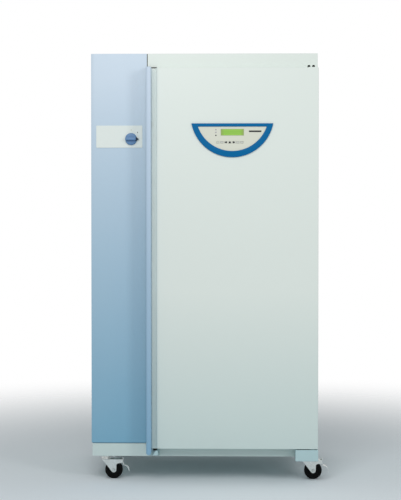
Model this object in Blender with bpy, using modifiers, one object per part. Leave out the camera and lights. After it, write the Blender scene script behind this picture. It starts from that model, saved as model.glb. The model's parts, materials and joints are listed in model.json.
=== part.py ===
"""Cooled laboratory incubator of about 400 litres on casters, its cooling unit in a narrow housing on the left.

Lengths are in metres. While a piece is modelled, x = 0 is the middle of the chamber, y = 0 the front of the
cabinet with the room at -y, and z = 0 the floor. The datum empty then carries everything to the part's own
origin, the middle of the bottom of its bounding box.
"""

import math

import bmesh
import bpy
from mathutils import Matrix, Vector

# Overall sizes
CABINET_WIDTH = 0.760
HOUSING_WIDTH = 0.250
WALL_SPACER = 0.020
GROUND_CLEARANCE = 0.111
BASE_HEIGHT = 0.057
BASE_INSET = 0.0035
FLOOR_WALL = 0.094
TOP_WALL = 0.140
BACK_WALL = 0.068
CORNER_PLATE = 0.115
CAP_HEIGHT = 0.068
CAP_EDGE = 0.0012
SPACER_X = 0.260
SPACER_RADIUS = (0.026, 0.020)
CONTROL_BOX_X = (-0.300, -0.060)
CONTROL_BOX_Y = (0.100, 0.340)
CONTROL_BOX_HEIGHT = 0.045

# Sheet, seats and running clearances
SHEET = 0.0015
BASE_SHEET = 0.003
SEAT = 0.0003
RUNNING = 0.001
PIN_PLAY = 0.0007

# How far a cutting tool reaches past the face it opens, and how far joined pieces lap
PAST = 0.010
LAP = 0.001

# Chamber
CHAMBER_WIDTH = 0.540
CHAMBER_DEPTH = 0.520
CHAMBER_HEIGHT = 1.440
AIR_DUCT = 0.030
PLENUM = 0.070
FRONT_FRAME_DEPTH = 0.012
GLASS_RECESS = 0.002
CASING_FLANGE = 0.018
RUNNERS = 6
RUNNER_REACH = 0.010
RUNNER_SHEET = 0.002
AIR_SLOT_ROWS = 6
AIR_SLOT = (0.170, 0.008)
AIR_SLOT_INSET = 0.130
AIR_WALL_SETBACK = 0.008
RUNNER_INSET = 0.015
SHELF_THICKNESS = 0.004
SHELF_BAR = 0.004
SHELF_RIM = 0.012
SHELF_SETBACK = 0.028
SHELF_GAPS = 14
SHELF_RUNNERS = (1, 3)
FAN_DROP = 0.402
FAN_SETBACK = 0.036
FAN_RADIUS = 0.080
FAN_SHAFT = 0.004
FAN_HUB = 0.020
FAN_DEPTH = 0.028
FAN_BLADES = 6
BLADE_THICKNESS = 0.0016
BLADE_PITCH = 50
INTAKE_RADIUS = 0.074
INTAKE_HUB = 0.026
INTAKE_OPENINGS = 6
INTAKE_RIB = 0.010
MOTOR_RADIUS = 0.040
MOTOR_BORE = 0.030
MOTOR_BACK = 0.014
MOTOR_EDGE = 0.005
HEATER_RADIUS = 0.098
HEATER_ROD = 0.004
HEATER_SPAN = (100, 440)
HEATER_STEPS = 18
SENSOR_X = 0.180
SENSOR_DROP = 0.080
SENSOR_LENGTH = 0.080
SENSOR_RADIUS = 0.003
SENSOR_NUT = 0.010
PIPE_RADIUS = 0.005
PIPE_ABOVE = 0.140
PIPE_SETBACK = 0.040
GLASS_THICKNESS = 0.005
GLASS_MARGIN = 0.004
GLASS_AXIS_INSET = 0.010
GLASS_PIN_RADIUS = 0.0018
GLASS_PIN_REACH = 0.005

# Door and handle
DOOR_OVERLAP = 0.0126
DOOR_TOP_GAP = 0.003
DOOR_GAP = 0.008
DOOR_THICKNESS = 0.054
DOOR_EDGE_RADIUS = 0.004
HINGE_INSET = 0.022
HINGE_SETBACK = 0.018
HINGE_PIN_RADIUS = 0.005
GASKET_INSET = 0.035
GASKET_WIDTH = 0.020
HANDLE_WIDTH = 0.023
GROOVE_WIDTH = 0.022
HANDLE_REACH = 0.030
HANDLE_ABOVE = 0.0008
HANDLE_BELOW = 0.0189
HANDLE_PIN_RADIUS = 0.0035
EAR_HEIGHT = 0.030
EAR_RADIUS = 0.009
EAR_INSET = 0.250
EAR_PLAY = 0.0015
STEP_THICKNESS = 0.0155
CAM_BACK = 0.022
CAM_SIDE = 0.009
CAM_HEIGHT = 0.0075
CAM_STROKE = 0.0026
CAM_TIP = 0.007
TOP_HINGE_WIDTH = (0.003, 0.045)
TOP_HINGE_REACH = 0.056
TOP_HINGE_LEG = (0.0007, 0.0032)
TOP_HINGE_FLANGE = 0.018
BOTTOM_HINGE_WIDTH = (0.003, 0.100)
BOTTOM_HINGE_REACH = 0.060
BOTTOM_HINGE_GAP = 0.0044
PIN_DEPTH = 0.024
GLIDE_DROP = 0.004
GLIDE_Y = (0.014, 0.002)
RAMP_REACH = 0.016
RAMP_FOOT = (-0.028, 0.010)
RAMP_TOP = (-0.013, -0.006)

# Control panel on the door
PANEL_DROP = 0.245
PANEL_RADIUS = 0.1836
PANEL_CENTRE_RISE = 0.0346
BEZEL_TOP_BAND = 0.0132
BEZEL_BAND = 0.0264
FASCIA_CENTRE_RISE = 0.052
BEZEL_THICKNESS = 0.0062
FASCIA_THICKNESS = 0.0022
DISPLAY_SIZE = (0.101, 0.028)
DISPLAY_DROP = 0.039
CARD_SIZE = (0.055, 0.007)
CARD_X = 0.1005
CARD_DROP = 0.035
CARD_SLOT = (0.046, 0.002)
KEYS = 7
KEY_PITCH = 0.01764
KEY_SIZE = (0.0126, 0.0090)
KEY_ROW_X = -0.0109
KEY_DROP = 0.0832
KEY_PROUD = 0.0010
KEY_CORNER = 0.0015
KEY_THICKNESS = 0.0022
KEY_CLEARANCE = 0.0004
DISPLAY_PROUD = 0.0005
CARD_PROUD = 0.001
CARD_SLOT_DEPTH = 0.0022

# Main switch on the cooling housing
PLATE_SIZE = (0.206, 0.0987)
PLATE_THICKNESS = 0.002
PLATE_X = 0.1263
PLATE_DROP = 0.3692
KNOB_RADIUS = 0.0265
KNOB_SKIRT = 0.008
KNOB_RIDGE = (0.044, 0.014, 0.012)
KNOB_SHAFT_LENGTH = 0.014
KNOB_POINTER = (0.0350, 0.0075, 0.004)
KNOB_X = 0.1788
KNOB_DROP = 0.3801
KNOB_SHAFT = 0.006
FRONT_PAN_DEPTH = 0.020
FRONT_PAN_CREASE = (0.019, 0.003)

# Cooling machine
COMPRESSOR_RADIUS = 0.078
COMPRESSOR_HEIGHT = 0.200
COMPRESSOR_Y = 0.300
COMPRESSOR_PROFILE = (
    (0, 1), (0.45, 0.98), (0.80, 0.89), (1, 0.725), (1, 0.44), (1.06, 0.44), (1.06, 0.39), (1, 0.39),
    (1, 0.175), (0.78, 0.07), (1.1, 0.05), (1.1, 0), (0, 0),
)
CONDENSER_SIZE = (0.220, 0.240)
CONDENSER_DEPTH = 0.058
CONDENSER_FINS = 12
SHROUD_HUB = 0.026
SHROUD_SHEET = 0.003
SHROUD_MOTOR = 0.030
EVAPORATOR_SIZE = (0.460, 0.400)
EVAPORATOR_DEPTH = 0.050
EVAPORATOR_FINS = 15
FIN = 0.003
FIN_BORDER = 0.012
EVAPORATOR_RISE = 0.298
COOLING_FAN_RADIUS = 0.086
COOLING_FAN_HUB = 0.022
COOLING_FAN_DEPTH = 0.022
COOLING_FAN_SHAFT = 0.018
COOLING_FAN_BLADES = 5
PIPE_BEND = 0.012
PIPE_STUB = 0.120
PIPE_RISE = 0.060
PIPE_INSET = 0.016
INLET_RISE = 0.408
INLET_SIZE = (0.048, 0.032, 0.008)
INLET_SOCKET = (0.026, 0.020, 0.005)
LOUVRES = 9
LOUVRE = (0.180, 0.010)

# Casters
WHEEL_RADIUS = 0.040
WHEEL_WIDTH = 0.026
WHEEL_SIDES = 20
WHEEL_HUB = 0.012
WHEEL_RIM = 0.030
AXLE_RADIUS = 0.0045
TRAIL = 0.0355
CASTER_INSET_LEFT = 0.060
CASTER_INSET_RIGHT = 0.050
CASTER_INSET_Y = 0.058
FORK_SHEET = 0.0025
FORK_GAP = 0.030
CROWN_TOP = 0.048
CROWN_END = 0.0325
FORK_BACK = 0.052
FORK_FRONT = 0.0408
LEG_KNEE = (-0.038, 0.031)
LEG_END_RADIUS = 0.0115
LEG_THROAT = (0.0215, 0.020)
LEG_THROAT_RADIUS = 0.0100
LEG_CHIN = 0.033
RACE_RADIUS = 0.0235
RACE_HEIGHT = 0.007
KINGPIN_RADIUS = 0.006
KINGPIN_HEAD = 0.009
HEAD_SIDES = 14
PIVOT_RADIUS = 0.0025
PEDAL_PIVOT = (0.034, 0.0385)
PEDAL_BOSS = 0.005
PEDAL_WIDTH = 0.024
PEDAL_SHEET = 0.003
PEDAL_REACH = 0.071
PEDAL_BOW = ((0.0445, 0.0355), (0.0545, 0.0285), (0.0625, 0.0180))
PEDAL_TAB = ((0.0380, 0.0400), (0.0415, 0.0450), (0.0415, 0.0560))

# Where things lie, worked out from the sizes above
LEFT = -CABINET_WIDTH / 2
RIGHT = CABINET_WIDTH / 2
HOUSING_LEFT = LEFT - HOUSING_WIDTH
BASE_TOP = GROUND_CLEARANCE + BASE_HEIGHT
CHAMBER_FLOOR = BASE_TOP + FLOOR_WALL
CHAMBER_TOP = CHAMBER_FLOOR + CHAMBER_HEIGHT
CAP_BOTTOM = CHAMBER_TOP + TOP_WALL
HEIGHT = CAP_BOTTOM + CAP_HEIGHT
LINER_SIDE = CHAMBER_WIDTH / 2 + AIR_DUCT
CHAMBER_FRONT = FRONT_FRAME_DEPTH - GLASS_RECESS
BAFFLE_Y = CHAMBER_FRONT + CHAMBER_DEPTH
LINER_BACK = BAFFLE_Y + PLENUM
LINER_FRONT = FRONT_FRAME_DEPTH + SEAT
CASING_DEPTH = LINER_BACK + BACK_WALL
DOOR_BOTTOM = BASE_TOP - DOOR_OVERLAP
DOOR_TOP = CAP_BOTTOM - DOOR_TOP_GAP
HANDLE_TOP = DOOR_TOP + HANDLE_ABOVE
HANDLE_BOTTOM = DOOR_BOTTOM - HANDLE_BELOW
PANEL_CHORD_Z = DOOR_TOP - PANEL_DROP
PLATE_Z = HEIGHT - PLATE_DROP
KNOB_Z = HEIGHT - KNOB_DROP
DOOR_BACK = -DOOR_GAP
DOOR_FRONT = DOOR_BACK - DOOR_THICKNESS
HINGE_X = RIGHT - HINGE_INSET
HINGE_Y = DOOR_FRONT + HINGE_SETBACK
HANDLE_R = HANDLE_WIDTH / 2
HANDLE_X = LEFT + HANDLE_R
STEP_FRONT = DOOR_BACK - STEP_THICKNESS
HANDLE_Y = STEP_FRONT - RUNNING - HANDLE_R
HANDLE_FRONT = DOOR_FRONT - HANDLE_REACH
FACE_LEFT = LEFT + HANDLE_WIDTH + GROOVE_WIDTH
EAR_Z = (DOOR_BOTTOM + EAR_INSET, DOOR_TOP - EAR_INSET)
PAD_Y = HANDLE_Y + CAM_BACK + CAM_STROKE
LOWER_CAM_Z = (HANDLE_BOTTOM + 2 * SHEET, HANDLE_BOTTOM + 2 * SHEET + CAM_HEIGHT)
UPPER_CAM_Z = (DOOR_TOP + SEAT, HANDLE_TOP + RUNNING + CAM_HEIGHT)
FAN_HEIGHT = CHAMBER_TOP - FAN_DROP
FAN_Y = BAFFLE_Y + FAN_SETBACK
EVAPORATOR_FLOOR = CHAMBER_FLOOR + EVAPORATOR_RISE
PIPE_HEIGHT = EVAPORATOR_FLOOR + PIPE_ABOVE
PIPE_Y = BAFFLE_Y + PIPE_SETBACK
INLET_Z = BASE_TOP + INLET_RISE
CONDENSER_BACK = CASING_DEPTH - SHEET - SEAT
CONDENSER_FRONT = CONDENSER_BACK - CONDENSER_DEPTH
HOUSING_MIDDLE = HOUSING_LEFT + HOUSING_WIDTH / 2
CONDENSER_MIDDLE_Z = BASE_TOP + SEAT + CONDENSER_SIZE[1] / 2
COMPRESSOR_BASE = BASE_TOP + SEAT
RUNNER_PITCH = CHAMBER_HEIGHT / (RUNNERS + 1)
CASTERS = {
    "front_left": (HOUSING_LEFT + CASTER_INSET_LEFT, CASTER_INSET_Y, True),
    "front_right": (RIGHT - CASTER_INSET_RIGHT, CASTER_INSET_Y, True),
    "rear_left": (HOUSING_LEFT + CASTER_INSET_LEFT, CASING_DEPTH - CASTER_INSET_Y, False),
    "rear_right": (RIGHT - CASTER_INSET_RIGHT, CASING_DEPTH - CASTER_INSET_Y, False),
}
MOST_RIGHT = RIGHT - CASTER_INSET_RIGHT + TRAIL + PEDAL_REACH
DATUM = Vector((
    -(HOUSING_LEFT + MOST_RIGHT) / 2,
    -(HANDLE_FRONT + CASING_DEPTH + WALL_SPACER) / 2,
    0.0,
))

# Orientations of a flat outline: (across, up) of the drawing become (x, z), (x, y) or (y, z)
FACING_Y = Matrix(((1, 0, 0), (0, 0, -1), (0, 1, 0))).to_4x4()
FACING_Z = Matrix.Identity(4)
FACING_X = Matrix(((0, 0, 1), (1, 0, 0), (0, 1, 0))).to_4x4()


def clear_scene():
    for obj in list(bpy.data.objects):
        bpy.data.objects.remove(obj, do_unlink=True)


def make_collection(name):
    collection = bpy.data.collections.new(name)
    bpy.context.scene.collection.children.link(collection)
    return collection


def make_empty(name, at, parent=None):
    empty = bpy.data.objects.new(name, None)
    parts.objects.link(empty)
    empty.parent = parent
    empty.location = Vector(at)
    return empty


def make_material(name, colour, roughness, metallic=0.0, alpha=1.0):
    material = bpy.data.materials.new(name)
    material.use_nodes = True
    shader = material.node_tree.nodes["Principled BSDF"]
    shader.inputs["Base Color"].default_value = (*colour, 1.0)
    shader.inputs["Roughness"].default_value = roughness
    shader.inputs["Metallic"].default_value = metallic
    shader.inputs["Alpha"].default_value = alpha
    return material


def face_outwards(bm):
    bmesh.ops.recalc_face_normals(bm, faces=bm.faces)
    if bm.calc_volume(signed=True) < 0:
        bmesh.ops.reverse_faces(bm, faces=bm.faces)


def object_from_bmesh(bm, name):
    face_outwards(bm)
    mesh = bpy.data.meshes.new(name)
    bm.to_mesh(mesh)
    bm.free()
    obj = bpy.data.objects.new(name, mesh)
    workbench.objects.link(obj)
    return obj


def bake(obj, weld=0.0):
    """Replaces the object's mesh by the one its modifiers make."""
    bpy.context.view_layer.update()
    graph = bpy.context.evaluated_depsgraph_get()
    mesh = bpy.data.meshes.new_from_object(obj.evaluated_get(graph))
    if weld:
        bm = bmesh.new()
        bm.from_mesh(mesh)
        bmesh.ops.remove_doubles(bm, verts=bm.verts, dist=weld)
        face_outwards(bm)
        bm.to_mesh(mesh)
        bm.free()
    if obj.type == "MESH":
        obj.modifiers.clear()
        obj.data = mesh
        return obj
    made = bpy.data.objects.new(obj.name, mesh)
    made.matrix_world = obj.matrix_world
    workbench.objects.link(made)
    bpy.data.objects.remove(obj)
    return made


def combine(target, operation, tools):
    for tool in tools:
        boolean = target.modifiers.new("combine", "BOOLEAN")
        boolean.operation = operation
        boolean.object = tool
        bake(target)
        bpy.data.objects.remove(tool)
    return target


def cut(target, *tools):
    return combine(target, "DIFFERENCE", tools)


def join(target, *tools):
    return combine(target, "UNION", tools)


def bevel(obj, width, segments=2, angle=50):
    modifier = obj.modifiers.new("rounded edges", "BEVEL")
    modifier.width = width
    modifier.segments = segments
    modifier.limit_method = "ANGLE"
    modifier.angle_limit = math.radians(angle)
    return bake(obj)


def box(x, y, z, name="box"):
    """A block between two values of x, of y and of z."""
    size = Vector((x[1] - x[0], y[1] - y[0], z[1] - z[0]))
    centre = Vector((x[0] + x[1], y[0] + y[1], z[0] + z[1])) / 2
    bm = bmesh.new()
    bmesh.ops.create_cube(bm, size=1.0, matrix=Matrix.Translation(centre) @ Matrix.Diagonal((*size, 1.0)))
    return object_from_bmesh(bm, name)


def boxes(ranges):
    """Several separate blocks in one mesh, for cutting in one go."""
    bm = bmesh.new()
    for x, y, z in ranges:
        size = Vector((x[1] - x[0], y[1] - y[0], z[1] - z[0]))
        centre = Vector((x[0] + x[1], y[0] + y[1], z[0] + z[1])) / 2
        bmesh.ops.create_cube(bm, size=1.0, matrix=Matrix.Translation(centre) @ Matrix.Diagonal((*size, 1.0)))
    return object_from_bmesh(bm, "boxes")


def cylinder(axis, start, end, across, radius, sides=16, end_radius=None):
    """A cylinder or cone along x, y or z, between start and end, centred on the other two coordinates."""
    bm = bmesh.new()
    bmesh.ops.create_cone(
        bm, cap_ends=True, segments=sides, radius1=radius,
        radius2=radius if end_radius is None else end_radius, depth=end - start,
        matrix=Matrix.Translation((0, 0, (start + end) / 2)) @ Matrix.Rotation(math.pi / sides, 4, "Z"),
    )
    turn = {"x": FACING_X, "y": FACING_X @ FACING_X, "z": FACING_Z}[axis]
    place = {"x": (0, *across), "y": (across[0], 0, across[1]), "z": (*across, 0)}[axis]
    bm.transform(Matrix.Translation(place) @ turn)
    return object_from_bmesh(bm, "cylinder")


def rectangle(left, right, low, high):
    return [(left, low), (right, low), (right, high), (left, high)]


def window(x, z, size, margin=0.0):
    """Left, right, low and high edge of an opening round a point, larger by a margin on every side."""
    wide, tall = size[0] / 2 + margin, size[1] / 2 + margin
    return x - wide, x + wide, z - tall, z + tall


def arc(centre, radius, start, end, steps):
    """Points of an arc, its angles in degrees."""
    return [
        (centre[0] + radius * math.cos(a), centre[1] + radius * math.sin(a))
        for a in (math.radians(start + (end - start) * i / steps) for i in range(steps + 1))
    ]


def rounded_rectangle(left, right, low, high, radius, steps=3):
    points = []
    corners = ((right, low, -90), (right, high, 0), (left, high, 90), (left, low, 180))
    for x, z, start in corners:
        inside_x = x - math.copysign(radius, x - (left + right) / 2)
        inside_z = z - math.copysign(radius, z - (low + high) / 2)
        points += arc((inside_x, inside_z), radius, start, start + 90, steps)
    return points


def plate(outer, holes, low, high, facing):
    """A flat outline with holes, filled between low and high along the direction it faces."""
    curve = bpy.data.curves.new("outline", "CURVE")
    curve.dimensions = "2D"
    curve.fill_mode = "BOTH"
    curve.extrude = (high - low) / 2
    for points in (outer, *holes):
        spline = curve.splines.new("POLY")
        spline.points.add(len(points) - 1)
        for point, (across, up) in zip(spline.points, points):
            point.co = (across, up, 0, 1)
        spline.use_cyclic_u = True
    obj = bpy.data.objects.new("outline", curve)
    workbench.objects.link(obj)
    made = bake(obj, weld=1e-6)
    middle = (low + high) / 2
    along = -middle if facing is FACING_Y else middle
    made.data.transform(facing @ Matrix.Translation((0, 0, along)))
    return made


def turned(profile, axis, at, sides, offset=0.5):
    """A profile of (radius, place along the axis), turned about the line along x, y or z through a point."""
    bm = bmesh.new()
    points = [bm.verts.new((radius, 0, along)) for radius, along in profile]
    for first, second in zip(points, points[1:]):
        bm.edges.new((first, second))
    if profile[0][0] > 0 and profile[0] != profile[-1]:
        raise ValueError("a turned profile starts and ends on the axis, or closes on itself")
    mesh = bpy.data.meshes.new("profile")
    bm.to_mesh(mesh)
    bm.free()
    obj = bpy.data.objects.new("turned", mesh)
    workbench.objects.link(obj)
    screw = obj.modifiers.new("turn", "SCREW")
    screw.steps = sides
    screw.render_steps = sides
    screw.use_merge_vertices = True
    screw.merge_threshold = 1e-6
    bake(obj, weld=1e-6)
    spin = Matrix.Rotation(offset * 2 * math.pi / sides, 4, "Z")
    turn = {"x": FACING_X, "y": FACING_X @ FACING_X, "z": FACING_Z}[axis]
    obj.data.transform(Matrix.Translation(at) @ turn @ spin)
    return obj


def tube(points, radius):
    curve = bpy.data.curves.new("tube", "CURVE")
    curve.dimensions = "3D"
    curve.bevel_depth = radius
    curve.bevel_resolution = 2
    curve.use_fill_caps = True
    spline = curve.splines.new("POLY")
    spline.points.add(len(points) - 1)
    for point, place in zip(spline.points, points):
        point.co = (*place, 1)
    obj = bpy.data.objects.new("tube", curve)
    workbench.objects.link(obj)
    return bake(obj, weld=1e-6)


def bend(points, radius, steps=4):
    """A route through the points with each inner corner rounded."""
    route = [Vector(points[0])]
    for before, corner, after in zip(points, points[1:], points[2:]):
        corner = Vector(corner)
        back = (Vector(before) - corner).normalized() * radius
        on = (Vector(after) - corner).normalized() * radius
        for i in range(steps + 1):
            t = i / steps
            route.append(corner + back * (1 - t) ** 2 + on * t**2)
    route.append(Vector(points[-1]))
    return route


def finish(obj, name, material, frame, smooth=40):
    """Names a piece, gives it its material, puts its origin on its frame's axis and hangs it there."""
    origin = frame_places[frame.name]
    obj.name = name
    obj.data.name = name
    obj.data.transform(Matrix.Translation(-origin))
    obj.data.materials.clear()
    obj.data.materials.append(material)
    obj.data.shade_smooth()
    obj.data.set_sharp_from_angle(angle=math.radians(smooth))
    workbench.objects.unlink(obj)
    parts.objects.link(obj)
    obj.parent = frame
    return obj


def frame_at(name, place, parent):
    """An empty on a joint's axis, at a place in the cabinet's coordinates."""
    frame_places[name] = Vector(place)
    return make_empty(name, Vector(place) - frame_places[parent.name], parent)


def make_base():
    low, high = GROUND_CLEARANCE, BASE_TOP
    left, right, back = HOUSING_LEFT + BASE_INSET, RIGHT, CASING_DEPTH
    inner_x = (left + BASE_SHEET, right - BASE_SHEET)
    inner_y = (BASE_SHEET, back - BASE_SHEET)
    obj = box((left, right), (0, back), (low, high))
    cut(
        obj,
        box(inner_x, inner_y, (low + BASE_SHEET, high - BASE_SHEET)),
        box((left + CORNER_PLATE, right - CORNER_PLATE), inner_y, (low - PAST, low + PAST)),
        box(inner_x, (CORNER_PLATE, back - CORNER_PLATE), (low - PAST, low + PAST)),
    )
    for x, y, _ in CASTERS.values():
        cut(obj, cylinder("z", low - PAST, low + PAST, (x, y), KINGPIN_RADIUS + RUNNING, 12))
    finish(obj, "base_frame", white, cabinet)


def make_casing():
    low, high = BASE_TOP + SEAT, CAP_BOTTOM - SEAT
    back = CASING_DEPTH - SHEET - SEAT
    obj = box((LEFT, RIGHT), (0, back), (low, high))
    rim = CASING_FLANGE
    cut(
        obj,
        box((LEFT + SHEET, RIGHT - SHEET), (SHEET, back + PAST), (low + SHEET, high - SHEET)),
        box((LEFT + rim, RIGHT - rim), (-PAST, PAST), (low + rim, high - rim)),
        cylinder("x", LEFT - PAST, LEFT + PAST, (PIPE_Y, PIPE_HEIGHT), PIPE_RADIUS + 3 * RUNNING, 12),
    )
    finish(obj, "cabinet_casing", white, cabinet)

    obj = box((LEFT, RIGHT), (CASING_DEPTH - SHEET, CASING_DEPTH), (low, high))
    for side in (-1, 1):
        join(obj, cylinder(
            "y", CASING_DEPTH - SHEET / 2, CASING_DEPTH + WALL_SPACER, (side * SPACER_X, CHAMBER_TOP),
            SPACER_RADIUS[0], 16, SPACER_RADIUS[1],
        ))
    finish(obj, "back_panel", white, cabinet)

    obj = box((LEFT, RIGHT), (0, CASING_DEPTH), (CAP_BOTTOM - PAST, HEIGHT))
    bevel(obj, CAP_EDGE, 1, 80)
    cut(
        obj,
        box((LEFT - PAST, RIGHT + PAST), (-PAST, CASING_DEPTH + PAST), (CAP_BOTTOM - 2 * PAST, CAP_BOTTOM)),
        box((LEFT + SHEET, RIGHT - SHEET), (SHEET, CASING_DEPTH - SHEET), (CAP_BOTTOM - PAST, HEIGHT - SHEET)),
    )
    finish(obj, "top_cap", white, cabinet)

    obj = box(CONTROL_BOX_X, CONTROL_BOX_Y, (CAP_BOTTOM, CAP_BOTTOM + CONTROL_BOX_HEIGHT))
    bevel(obj, 2 * SHEET, 1)
    finish(obj, "control_box", grey_metal, cabinet)


def make_chamber():
    side, low, high = LINER_SIDE, CHAMBER_FLOOR, CHAMBER_TOP
    outer_low, outer_high = BASE_TOP + SEAT, CAP_BOTTOM - SEAT
    rim = CASING_FLANGE + SEAT
    frame = plate(
        rectangle(LEFT + rim, RIGHT - rim, outer_low + rim, outer_high - rim),
        [rectangle(-side, side, low, high)],
        0.0, FRONT_FRAME_DEPTH, FACING_Y,
    )
    pin_x = side - GLASS_AXIS_INSET
    pin_y = CHAMBER_FRONT - GLASS_THICKNESS / 2
    for end, way in ((low, -1), (high, 1)):
        start, stop = sorted((end - way * LAP, end + way * (GLASS_PIN_REACH + 3 * RUNNING)))
        cut(frame, cylinder("z", start, stop, (pin_x, pin_y), GLASS_PIN_RADIUS + PIN_PLAY, 12))
    finish(frame, "front_frame", grey_plastic, cabinet)

    liner = box(
        (-side - SHEET, side + SHEET), (LINER_FRONT, LINER_BACK + SHEET), (low - SHEET, high + SHEET)
    )
    pipe_hole = PIPE_RADIUS + RUNNING
    cut(
        liner,
        box((-side, side), (-PAST, LINER_BACK), (low, high)),
        cylinder("y", LINER_BACK - PAST, LINER_BACK + PAST, (0, FAN_HEIGHT), 2 * FAN_SHAFT, 16),
        cylinder("x", -side - PAST, -side + PAST, (PIPE_Y, PIPE_HEIGHT), pipe_hole, 12),
    )
    finish(liner, "chamber_liner", steel, cabinet)

    gap = SHEET + SEAT
    foam = box(
        (LEFT + gap, RIGHT - gap), (LINER_FRONT, CASING_DEPTH - gap), (outer_low + gap, outer_high - gap)
    )
    cut(
        foam,
        box((-side - gap, side + gap), (-PAST, LINER_BACK + gap), (low - gap, high + gap)),
        cylinder("y", LINER_BACK - PAST, CASING_DEPTH + PAST, (0, FAN_HEIGHT), MOTOR_RADIUS + RUNNING, 20),
        cylinder("x", LEFT - PAST, -side + PAST, (PIPE_Y, PIPE_HEIGHT), pipe_hole, 12),
    )
    finish(foam, "chamber_insulation", foam_white, cabinet)


def make_air_walls():
    inner = CHAMBER_WIDTH / 2
    low, high = CHAMBER_FLOOR + SEAT, CHAMBER_TOP - SEAT
    front, back = FRONT_FRAME_DEPTH + AIR_WALL_SETBACK, BAFFLE_Y - SEAT
    slots = []
    for row in range(AIR_SLOT_ROWS):
        z = low + (row + 0.5) * CHAMBER_HEIGHT / AIR_SLOT_ROWS
        for middle in (front + AIR_SLOT_INSET, back - AIR_SLOT_INSET):
            slots.append(rectangle(
                middle - AIR_SLOT[0] / 2, middle + AIR_SLOT[0] / 2, z - AIR_SLOT[1] / 2, z + AIR_SLOT[1] / 2
            ))
    for name, side in (("left", -1), ("right", 1)):
        face = sorted((side * inner, side * (inner + SHEET)))
        wall = plate(rectangle(front, back, low, high), slots, *face, FACING_X)
        reach = sorted((side * (inner + SHEET / 2), side * (LINER_SIDE - SEAT)))
        join(wall, box(reach, (front, front + SHEET), (low, high)))
        for i in range(RUNNERS):
            z = CHAMBER_FLOOR + (i + 1) * RUNNER_PITCH
            ledge = sorted((side * (inner - RUNNER_REACH), side * (inner + SHEET / 2)))
            join(wall, box(ledge, (front + RUNNER_INSET, back - RUNNER_INSET), (z - RUNNER_SHEET, z)))
        finish(wall, "air_wall_" + name, steel, cabinet)


def make_shelves():
    half = CHAMBER_WIDTH / 2 - RUNNING
    front, back = FRONT_FRAME_DEPTH + SHELF_SETBACK, BAFFLE_Y - SHELF_RIM
    pitch = (2 * half - SHELF_BAR) / SHELF_GAPS
    gaps = [
        rectangle(-half + SHELF_BAR + i * pitch, -half + (i + 1) * pitch, front + SHELF_RIM, back - SHELF_RIM)
        for i in range(SHELF_GAPS)
    ]
    for name, runner in zip(("shelf_lower", "shelf_upper"), SHELF_RUNNERS):
        z = CHAMBER_FLOOR + (runner + 1) * RUNNER_PITCH + SEAT
        shelf = plate(rectangle(-half, half, front, back), gaps, z, z + SHELF_THICKNESS, FACING_Z)
        finish(shelf, name, steel, cabinet)


def intake_openings(centre, inner, outer, count, rib):
    """Sector openings round a hub, with straight ribs of an even width between them."""
    openings = []
    for i in range(count):
        start, end = 360 * i / count, 360 * (i + 1) / count
        near = math.degrees(rib / 2 / inner)
        far = math.degrees(rib / 2 / outer)
        openings.append(
            arc(centre, inner, start + near, end - near, 3) + arc(centre, outer, end - far, start + far, 5)
        )
    return openings


def make_fan(name, y_front, centre, tip, hub, depth, shaft, frame, blades, material):
    """An axial fan that turns about y, its shaft running back from the hub."""
    x, z = centre
    y_back = y_front + depth
    edge = hub * 0.15
    chord = depth * 1.1
    profile = [
        (0, y_back + shaft), (FAN_SHAFT, y_back + shaft), (FAN_SHAFT, y_back), (hub, y_back),
        (hub, y_front + edge), (hub - edge, y_front), (0, y_front),
    ]
    obj = turned(profile, "y", (x, 0, z), 16)
    for i in range(blades):
        blade = box((-BLADE_THICKNESS / 2, BLADE_THICKNESS / 2), (-chord / 2, chord / 2), (hub * 0.6, tip))
        blade.data.transform(
            Matrix.Translation((x, y_front + depth / 2, z))
            @ Matrix.Rotation(2 * math.pi * i / blades, 4, "Y")
            @ Matrix.Rotation(math.radians(BLADE_PITCH), 4, "Z")
        )
        join(obj, blade)
    finish(obj, name, material, frame)


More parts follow.
